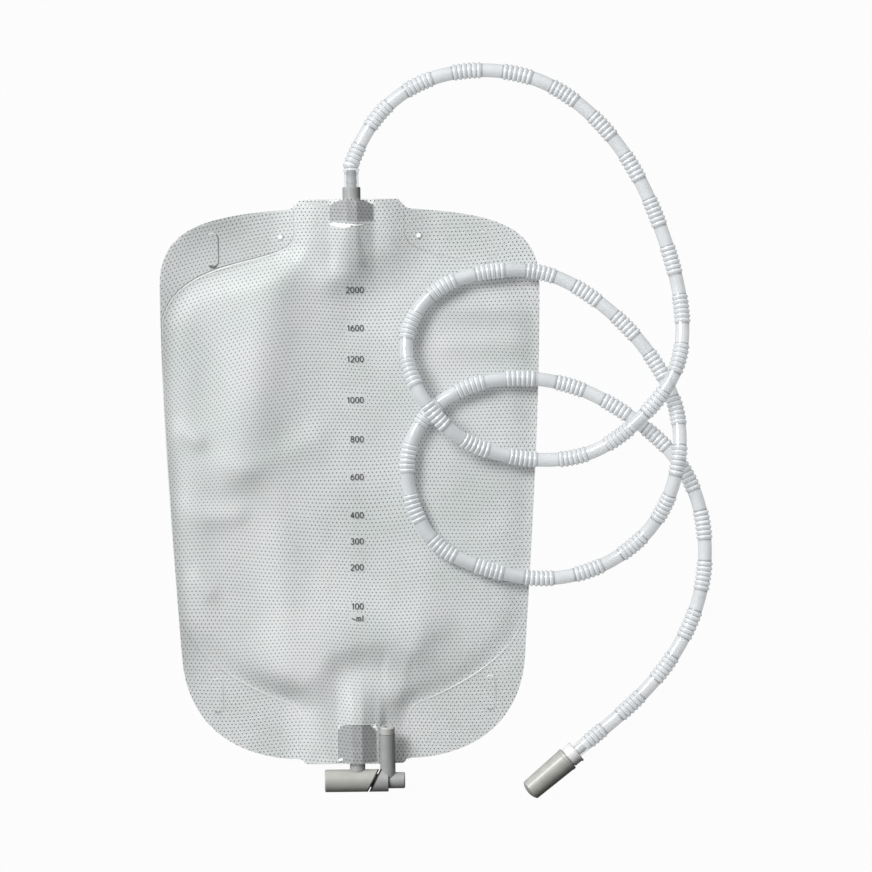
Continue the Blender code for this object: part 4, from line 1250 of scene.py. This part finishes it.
    def front(self, x: Array, y: Array) -> Array:
        """Lower face of the front film, folds and all."""
        folded = self._ripples(x, y)
        for fold in self.folds():
            folded = folded + fold.rise(x, y)
        within = self.shape.within(x, y, self.fold_slope)
        share = unit(self.shape.free(x, y))
        raised = self.shape.front_bottom(x, y) + folded * within * share
        lowest = self.shape.back_top(x, y) + self.least_gap
        highest = self._beneath_tube(x, y) - self.skin - self.tube_gap
        return np.minimum(np.maximum(raised, lowest), np.maximum(highest, lowest))

    def back(self, x: Array, y: Array) -> Array:
        """Lower face of the back film."""
        lower = self.shape.back_top(x, y) - self.skin - self.back_sink
        return np.maximum(lower, self.back_floor)

    def _blank(self) -> BMesh:
        """The film as it is cut: outline, grid, thickness, slots and pin holes."""
        shape = self.shape
        bm = bmesh.new()
        bm.faces.new([bm.verts.new((x, y, 0.0)) for x, y in shape.outline()])
        half = shape.width / 2
        spans = ((1.0, 0.0, 0.0), -half, half), ((0.0, 1.0, 0.0), shape.bottom, shape.top)
        for normal, low, high in spans:
            for line in np.linspace(low, high, round((high - low) / self.cell))[1:-1]:
                everything = [*bm.verts, *bm.edges, *bm.faces]
                bmesh.ops.bisect_plane(
                    bm, geom=everything, plane_co=Vector(normal) * line, plane_no=normal, dist=1e-7
                )
        self._thicken(bm, list(bm.faces), self.skin)
        bmesh.ops.recalc_face_normals(bm, faces=bm.faces)
        holder = link_new("film_blank", mesh_from("film_blank", bm))
        cutter = self._cutter()
        modifier = holder.modifiers.new("cut", "BOOLEAN")
        modifier.operation = "DIFFERENCE"
        modifier.solver = "EXACT"
        modifier.object = cutter
        depsgraph = bpy.context.evaluated_depsgraph_get()
        mesh = bpy.data.meshes.new_from_object(holder.evaluated_get(depsgraph))
        for scrap in (holder, cutter):
            data = scrap.data
            bpy.data.objects.remove(scrap)
            bpy.data.meshes.remove(data)
        bm = bmesh.new()
        bm.from_mesh(mesh)
        bpy.data.meshes.remove(mesh)
        bmesh.ops.triangulate(bm, faces=[face for face in bm.faces if len(face.verts) > 4])
        return bm

    def _cutter(self) -> Object:
        """Slots and pin holes as one helper object."""
        shape = self.shape
        bm = bmesh.new()
        middle = shape.slot_width / 2
        straight = shape.slot_length / 2 - middle
        turns = [math.radians(angle) for angle in (140, 120, 90, 68, 45, 22, 0)]
        for x, y in self._slot_places():
            points: list[Point2] = []
            for order in (1, -1):
                radius = middle + order * shape.slot_cut / 2
                bow = [(radius * math.cos(a), straight + radius * math.sin(a)) for a in turns]
                bow += [(u, -v) for u, v in reversed(bow)]
                points += bow[::order]
            self._raise(bm, [bm.faces.new([bm.verts.new((x + u, y + v, 0.0)) for u, v in points])])
        hole_y = shape.top - shape.pin_hole_drop
        for side in (-1, 1):
            place = Matrix.Translation((side * shape.pin_hole_x, hole_y, 0.0))
            ring = bmesh.ops.create_circle(
                bm, cap_ends=True, segments=20, radius=shape.pin_hole / 2, matrix=place
            )
            self._raise(bm, list({face for vert in ring["verts"] for face in vert.link_faces}))
        bmesh.ops.recalc_face_normals(bm, faces=bm.faces)
        return link_new("film_cutter", mesh_from("film_cutter", bm))

    def _raise(self, bm: BMesh, faces: list[BMFace]) -> None:
        """Extrude a cutter's faces to both sides of the film."""
        reach = 10.0 * self.skin
        for vert in {vert for face in faces for vert in face.verts}:
            vert.co.z = -reach
        self._thicken(bm, faces, 2.0 * reach)

    @staticmethod
    def _thicken(bm: BMesh, faces: list[BMFace], height: float) -> None:
        """Extrude faces upwards."""
        raised = bmesh.ops.extrude_face_region(bm, geom=faces)["geom"]
        moved = [item for item in raised if isinstance(item, BMVert)]
        bmesh.ops.translate(bm, verts=moved, vec=(0.0, 0.0, height))

    def _laid(self, name: str, blank: BMesh, lower: object) -> Mesh:
        """Lay a copy of the blank over a height."""
        bm = blank.copy()
        for vert, height in zip(bm.verts, lower(*plan_of(bm.verts))):
            vert.co.z += height
        return mesh_from(name, bm)

    def build(self) -> list[Object]:
        """Make both films, the welded line with its painted highlights, and the lines of painted
        shade.
        """
        blank = self._blank()
        back, front = (
            add_piece(name, self._laid(name, blank, lower), finish.value.make())
            for name, lower, finish in (
                ("back_sheet", self.back, Finish.BACK_FILM),
                ("front_sheet", self.front, Finish.FRONT_FILM),
            )
        )
        blank.free()
        weld = self._weld()
        edges = self._shaded_lines()
        declare(back, "back_film")
        declare(front, "front_film")
        for piece in (weld, edges):
            declare(piece)
        area = self.shape.flat_area()
        LOG.info("films: %.4f square metres each", area)
        return [back, front, weld, edges]

    def _weld_path(self, offset: float) -> list[Array]:
        """The weld's line, moved outwards by an offset and cut open at the tabs."""
        shape = self.shape
        line = self._evenly(np.array(shape.chamber(4)), True)
        ahead = np.roll(line, -1, axis=0) - np.roll(line, 1, axis=0)
        ahead = ahead / np.linalg.norm(ahead, axis=1)[:, None]
        path = line + np.stack([ahead[:, 1], -ahead[:, 0]], axis=1) * offset
        low, high = shape.bottom + self.tab_margin, shape.top - self.tab_margin
        path = path[(path[:, 1] < high) & (path[:, 1] > low)]
        gaps = np.linalg.norm(np.diff(path, axis=0), axis=1) > 3.0 * self.bead_step
        return [part for part in np.split(path, np.flatnonzero(gaps) + 1) if len(part) > 3]

    def _slot_path(self, x: float, y: float, first: float, last: float) -> Array:
        """Part of a slot's cut, between two angles of its ends."""
        radius = self.shape.slot_width / 2
        straight = self.shape.slot_length / 2 - radius
        points = []
        for angle in np.radians(np.linspace(first, last, 28)):
            rise = math.copysign(straight, math.sin(angle)) if abs(angle) > 1e-6 else 0.0
            points.append((x + radius * math.cos(angle), y + rise + radius * math.sin(angle)))
        return self._evenly(np.array(points), False)

    def _slot_places(self) -> list[Point2]:
        """Middle of each hanging slot."""
        shape = self.shape
        levels = (shape.top - shape.top_slot_drop, shape.bottom + shape.bottom_slot_rise)
        return [(side * shape.slot_x, y) for y in levels for side in (-1, 1)]

    def _weld(self) -> Object:
        """Raised line where the films are welded, with the slots' upper lips, a band across the top
        and glints; their white is a painted highlight.
        """
        bm = bmesh.new()
        offset, radius = self.weld_highlight_bead
        self._bead(bm, self._weld_path(offset), radius)
        for x, y in self._slot_places():
            self._bead(bm, [self._slot_path(x, y, 140.0, 60.0)], self.slot_lip)
        level = self.shape.top - self.band_drop
        seat = self.shape.seats[0]
        reach = seat.width / 2 + self.tab_margin
        left, right = self.band_ends
        for start, end in ((left, seat.middle - reach), (seat.middle + reach, right)):
            across = np.linspace(start, end, 16)
            self._bead(bm, [np.stack([across, np.full(16, level)], axis=1)], self.band_bead)
        for part, radius in self.glints:
            self._bead(bm, [self._evenly(np.array(part), False)], radius)
        mesh = self._fade(mesh_from("weld_highlight_line", bm), self.highlight_marks)
        return add_piece("weld_highlight_line", mesh, Finish.WELD_HIGHLIGHT.value.make())

    def _shaded_lines(self) -> Object:
        """Painted shade: dark lines on the outer side of the weld, along the cut edges of the
        hanging slots and round the pin holes.
        """
        bm = bmesh.new()
        offset, radius = self.shade_bead
        self._bead(bm, self._weld_path(offset), radius)
        for x, y in self._slot_places():
            self._bead(bm, [self._slot_path(x, y, 50.0, -140.0)], self.slot_shade)
            self._bead(bm, [self._slot_path(x, y, -50.0, -130.0)], self.slot_end_shade)
        level = self.shape.top - self.shape.pin_hole_drop
        turns = np.radians(np.linspace(20.0, -110.0, 14))
        for side in (-1, 1):
            middle = side * self.shape.pin_hole_x
            bow = [np.cos(turns) * self.pin_ring + middle, np.sin(turns) * self.pin_ring + level]
            self._bead(bm, [np.stack(bow, axis=1)], self.slot_lip)
        mesh = self._fade(mesh_from("painted_shade_lines", bm), self.shade_marks)
        return add_piece("painted_shade_lines", mesh, Finish.EDGE_SHADE.value.make())

    @staticmethod
    def _fade(mesh: Mesh, marks: tuple[Mark, ...]) -> Mesh:
        """Store how clearly each place of a line shows."""
        x, y = plan_of(mesh.vertices)
        shown = np.full(len(x), FAINT)
        for mark in marks:
            away = np.hypot(x - mark.x, y - mark.y)
            shown = shown + mark.share * np.exp(-((away / mark.reach) ** 2))
        store(mesh, Finish.WELD_HIGHLIGHT.value.fading, np.minimum(shown, 1.0))
        return mesh

    def _evenly(self, line: Array, closed: bool) -> Array:
        """Spread points evenly along a line."""
        corners = np.vstack([line, line[:1]]) if closed else line
        total = distances(corners)[-1]
        places = np.linspace(0.0, total, round(total / self.bead_step), endpoint=not closed)
        return points_at(corners, places)

    def _bead(self, bm: BMesh, parts: list[Array], radius: float) -> None:
        """Add a flat bead along each part, lying on the front film."""
        for part in parts:
            level = np.c_[part, np.zeros(len(part))]
            mesh = swept("bead", level, np.full(len(part), radius), 2)
            for vert, height in zip(mesh.vertices, self.front(*plan_of(mesh.vertices))):
                vert.co.z = height + self.skin + vert.co.z * self.bead_flatness
            bm.from_mesh(mesh)
            bpy.data.meshes.remove(mesh)


# Non-return valve


@dataclass(frozen=True)
class ValveSleeve:
    """Thin sleeve inside the bag, round on the inlet's nozzle and flat at its free end."""

    port_x: float = 0.0016
    start_y: float = 0.14675
    start_z: float = 0.0064
    end_z: float = 0.0024
    length: float = 0.0260
    collar: float = 0.0043
    width: float = 0.0170
    slit: float = 0.0005
    wall: float = 0.00015
    round_share: float = 0.19
    rings: int = 40
    sides: int = 56
    ripple: float = 0.00025
    wave: Point3 = (0.004, 0.007, 2.3)

    def _ring(self, step: float, wall: float) -> list[Point3]:
        """One ring of the sleeve, at a share of its length."""
        flat = eased(max(0.0, (step - self.round_share) / (1.0 - self.round_share)))
        wide = self.collar + flat * (self.width / 2 - self.collar) + wall
        thick = self.collar + flat * (self.slit / 2 - self.collar) + wall
        level = self.start_z + flat * (self.end_z - self.start_z)
        y = self.start_y - step * self.length
        wave_x, wave_y, seed = self.wave
        ring = []
        for index in range(self.sides):
            angle = math.tau * index / self.sides
            x = self.port_x + wide * math.cos(angle)
            wave = noise.noise(Vector((x / wave_x, y / wave_y, seed))) * self.ripple * flat
            ring.append((x, y, level + thick * math.sin(angle) + wave))
        return ring

    def build(self) -> Object:
        bm = bmesh.new()
        steps = np.linspace(0.0, 1.0, self.rings)
        outer, inner = (
            [[bm.verts.new(point) for point in self._ring(step, wall)] for step in steps]
            for wall in (self.wall, 0.0)
        )
        bands = [*zip(outer, outer[1:]), *zip(inner, inner[1:])]
        bands += [(outer[0], inner[0]), (outer[-1], inner[-1])]
        for first, second in bands:
            for index in range(self.sides):
                after = (index + 1) % self.sides
                bm.faces.new((first[index], first[after], second[after], second[index]))
        bmesh.ops.recalc_face_normals(bm, faces=bm.faces)
        mesh = mesh_from("valve_sleeve", bm)
        sleeve = add_piece("valve_sleeve", mesh, Finish.SLEEVE.value.make())
        declare(sleeve, "non_return_valve")
        around = math.tau * self.collar, 2.0 * self.width
        area = self.length * (around[0] + around[1]) / 2
        return sleeve


# Printed scale


def arc(x: float, y: float, wide: float, high: float, first: float, last: float) -> list[Point2]:
    """Part of an ellipse, between two angles in degrees."""
    turns = np.radians(np.linspace(first, last, max(4, round(abs(last - first) / 18.0))))
    return [(x + wide * math.cos(turn), y + high * math.sin(turn)) for turn in turns]


GLYPHS: dict[str, tuple[float, tuple[list[Point2], ...]]] = {
    "0": (0.56, (arc(0.28, 0.50, 0.28, 0.50, 90, 450),)),
    "1": (0.40, ([(0.06, 0.78), (0.30, 0.98)], [(0.30, 1.02), (0.30, -0.02)])),
    "2": (0.56, (
        arc(0.28, 0.70, 0.26, 0.30, 165, -35) + [(0.02, 0.03)], [(0.00, 0.0), (0.58, 0.0)],
    )),
    "3": (0.56, (arc(0.26, 0.75, 0.24, 0.25, 155, -90), arc(0.26, 0.25, 0.29, 0.25, 90, -155))),
    "4": (0.58, (
        [(0.43, -0.02), (0.43, 1.02)], [(0.43, 0.98), (0.01, 0.30)], [(-0.02, 0.28), (0.62, 0.28)],
    )),
    "6": (0.56, (arc(0.29, 0.31, 0.27, 0.31, 0, 360), arc(0.60, 0.34, 0.58, 0.66, 180, 108))),
    "8": (0.56, (arc(0.28, 0.75, 0.23, 0.25, 0, 360), arc(0.28, 0.25, 0.28, 0.25, 0, 360))),
    "m": (0.76, (
        [(0.02, 0.72), (0.02, -0.02)],
        arc(0.19, 0.48, 0.17, 0.20, 180, 0) + [(0.36, -0.02)],
        arc(0.53, 0.48, 0.17, 0.20, 180, 0) + [(0.70, -0.02)],
    )),
    "l": (0.12, ([(0.06, 1.02), (0.06, -0.02)],)),
    "~": (0.60, (arc(0.15, 0.38, 0.15, 0.12, 180, 0) + arc(0.45, 0.38, 0.15, 0.12, 180, 360),)),
}


@dataclass
class VolumeScale:
    """Numbers of the printed scale, right-aligned on the front film."""

    films: BagFilms
    right: float = 0.0065
    height: float = 0.0033
    gap: float = 0.24
    stroke: float = 0.00050
    lift: float = 0.00050
    lean: float = 0.0108
    around: float = 0.0010
    numbers: tuple[tuple[str, float], ...] = (
        ("2000", 0.1083), ("1600", 0.0867), ("1200", 0.0691), ("1000", 0.0459), ("800", 0.0237),
        ("600", 0.0022), ("400", -0.0194), ("300", -0.0342), ("200", -0.0489), ("100", -0.0710),
        ("~ml", -0.0778),
    )

    @staticmethod
    def _finely(line: Array) -> Array:
        """Put more points on a stroke, so that it follows the film."""
        total = distances(line)[-1]
        return points_at(line, np.linspace(0.0, total, max(3, round(total / 0.10))))

    def _ribbon(self, bm: BMesh, line: Array) -> None:
        """Add one flat stroke along a line."""
        ahead = np.gradient(line, axis=0)
        ahead = ahead / np.linalg.norm(ahead, axis=1)[:, None]
        aside = np.stack([-ahead[:, 1], ahead[:, 0]], axis=1) * self.stroke / 2
        left, right = (
            [bm.verts.new((x, y, 0.0)) for x, y in line + side * aside] for side in (1, -1)
        )
        for index in range(len(line) - 1):
            bm.faces.new((left[index], right[index], right[index + 1], left[index + 1]))

    def _width(self, label: str) -> float:
        """Width of a label in metres."""
        return (sum(GLYPHS[mark][0] + self.gap for mark in label) - self.gap) * self.height

    def clear_dots(self, sheet: Object) -> None:
        """Mark where the numbers stand, so that the film's dots fade beneath them."""
        x, y = plan_of(sheet.data.vertices)
        share = np.zeros(len(x))
        for label, level in self.numbers:
            half = self._width(label) / 2
            over = np.abs(x - self.right - self.lean * level + half) < half + self.around
            over &= np.abs(y - level) < self.height / 2 + self.around
            share[over] = 1.0
        store(sheet.data, Finish.FRONT_FILM.value.print_name, share)

    def build(self) -> Object:
        """Make the numbers as one thin mesh on the film."""
        bm = bmesh.new()
        for label, y in self.numbers:
            left = self.right + self.lean * y - self._width(label)
            for mark in label:
                width, strokes = GLYPHS[mark]
                for stroke in strokes:
                    line = self._finely(np.array(stroke)) * self.height
                    self._ribbon(bm, line + (left, y - self.height / 2))
                left += (width + self.gap) * self.height
        for vert, height in zip(bm.verts, self.films.front(*plan_of(bm.verts))):
            vert.co.z = height + self.films.skin + self.lift
        piece = add_piece("volume_scale", mesh_from("volume_scale", bm), Finish.INK.value.make())
        declare(piece)
        LOG.info("volume_scale: %d labels", len(self.numbers))
        return piece


# Moulded pieces


@dataclass
class MouldedPieces:
    """Pieces whose solids stay, each with its finish."""

    finishes: tuple[tuple[str, Finish], ...] = (
        ("inlet_port", Finish.PORT),
        ("outlet_port", Finish.PORT),
        ("valve_barrel", Finish.BARREL),
        ("barrel_seal_left", Finish.SEAL),
        ("barrel_seal_right", Finish.SEAL),
        ("valve_plunger", Finish.PLUNGER),
        ("valve_rotor", Finish.ROTOR),
        ("spout_tip", Finish.TIP),
        ("tube_connector", Finish.CONNECTOR),
        ("protective_cap", Finish.CAP),
    )

    def dress(self) -> None:
        """Give every node its finish."""
        made: dict[Finish, Material] = {}
        for name, finish in self.finishes:
            if finish not in made:
                made[finish] = finish.value.make()
            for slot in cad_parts[name].material_slots:
                slot.material = made[finish]
            LOG.info("%s: %s", name, finish.value.name)


# Studio


@dataclass
class Studio:
    """Camera, lamps and floor."""

    middle: Point2 = (0.0480, 0.0250)
    distance: float = 3.7
    field: float = 0.4949
    turn: float = math.radians(-0.62)
    sensor: float = 36.0
    lamp_power: float = 110.0
    lamp_size: float = 1.3
    lamp_place: Point3 = (-1.60, 1.50, 2.30)
    lamp_aim: Point3 = (0.03, 0.02, 0.0)
    bright_side: Point3 = (-0.45, 0.70, 0.55)
    dim_from: float = 0.15
    bright_from: float = 0.95
    dim_level: float = 0.025
    bright_level: float = 0.80
    floor_reach: float = 3.0

    def camera(self) -> None:
        """Place the camera straight above, turned as the photograph is."""
        data = bpy.data.cameras.new("camera")
        data.sensor_width = self.sensor
        data.lens = self.sensor * self.distance / self.field
        data.clip_end = 20.0
        camera = link_new("camera", data)
        camera.location = (*self.middle, self.distance)
        camera.rotation_euler = (0.0, 0.0, self.turn)
        bpy.context.scene.camera = camera

    def lights(self) -> None:
        """Soft lamp from the upper left, and a world that is bright on that side.

        The camera itself sees an even white world.
        """
        data = bpy.data.lights.new("soft_lamp", "AREA")
        data.shape = "SQUARE"
        data.size = self.lamp_size
        data.energy = self.lamp_power
        lamp = link_new("soft_lamp", data)
        lamp.location = self.lamp_place
        aim = Vector(self.lamp_aim) - lamp.location
        lamp.rotation_euler = aim.to_track_quat("-Z", "Y").to_euler()
        world = bpy.data.worlds.new("studio")
        world.use_nodes = True
        nodes, links = world.node_tree.nodes, world.node_tree.links
        background = nodes["Background"]
        background.inputs["Color"].default_value = (1.0, 1.0, 1.0, 1.0)
        towards = nodes.new("ShaderNodeTexCoord")
        facing = nodes.new("ShaderNodeVectorMath")
        facing.operation = "DOT_PRODUCT"
        facing.inputs[1].default_value = Vector(self.bright_side).normalized()
        shade = nodes.new("ShaderNodeMapRange")
        shade.inputs["From Min"].default_value = self.dim_from
        shade.inputs["From Max"].default_value = self.bright_from
        shade.inputs["To Min"].default_value = self.dim_level
        shade.inputs["To Max"].default_value = self.bright_level
        rays = nodes.new("ShaderNodeLightPath")
        level = nodes.new("ShaderNodeMix")
        level.inputs["B"].default_value = 1.0
        links.new(towards.outputs["Generated"], facing.inputs[0])
        links.new(facing.outputs["Value"], shade.inputs["Value"])
        links.new(rays.outputs["Is Camera Ray"], level.inputs["Factor"])
        links.new(shade.outputs["Result"], level.inputs["A"])
        links.new(level.outputs["Result"], background.inputs["Strength"])
        bpy.context.scene.world = world

    def floor(self) -> None:
        """White table under the bag."""
        bm = bmesh.new()
        bmesh.ops.create_grid(bm, x_segments=4, y_segments=4, size=self.floor_reach)
        mesh = mesh_from("table", bm)
        mesh.materials.append(Finish.FLOOR.value.make())
        link_new("table", mesh)

    def build(self) -> None:
        """Set the scene's stage and its view settings."""
        self.camera()
        self.lights()
        self.floor()
        bpy.context.scene.view_settings.view_transform = "Standard"


def main() -> None:
    """Build the bag piece by piece."""
    logging.basicConfig(level=logging.INFO, format="%(name)s %(message)s")
    Studio().build()
    tube = DrainageTube()
    tube.build()
    films = BagFilms(BagShape(), tube)
    _, front, *_ = films.build()
    ValveSleeve().build()
    scale = VolumeScale(films)
    scale.clear_dots(front)
    scale.build()
    MouldedPieces().dress()


if __name__ == "__main__":
    main()
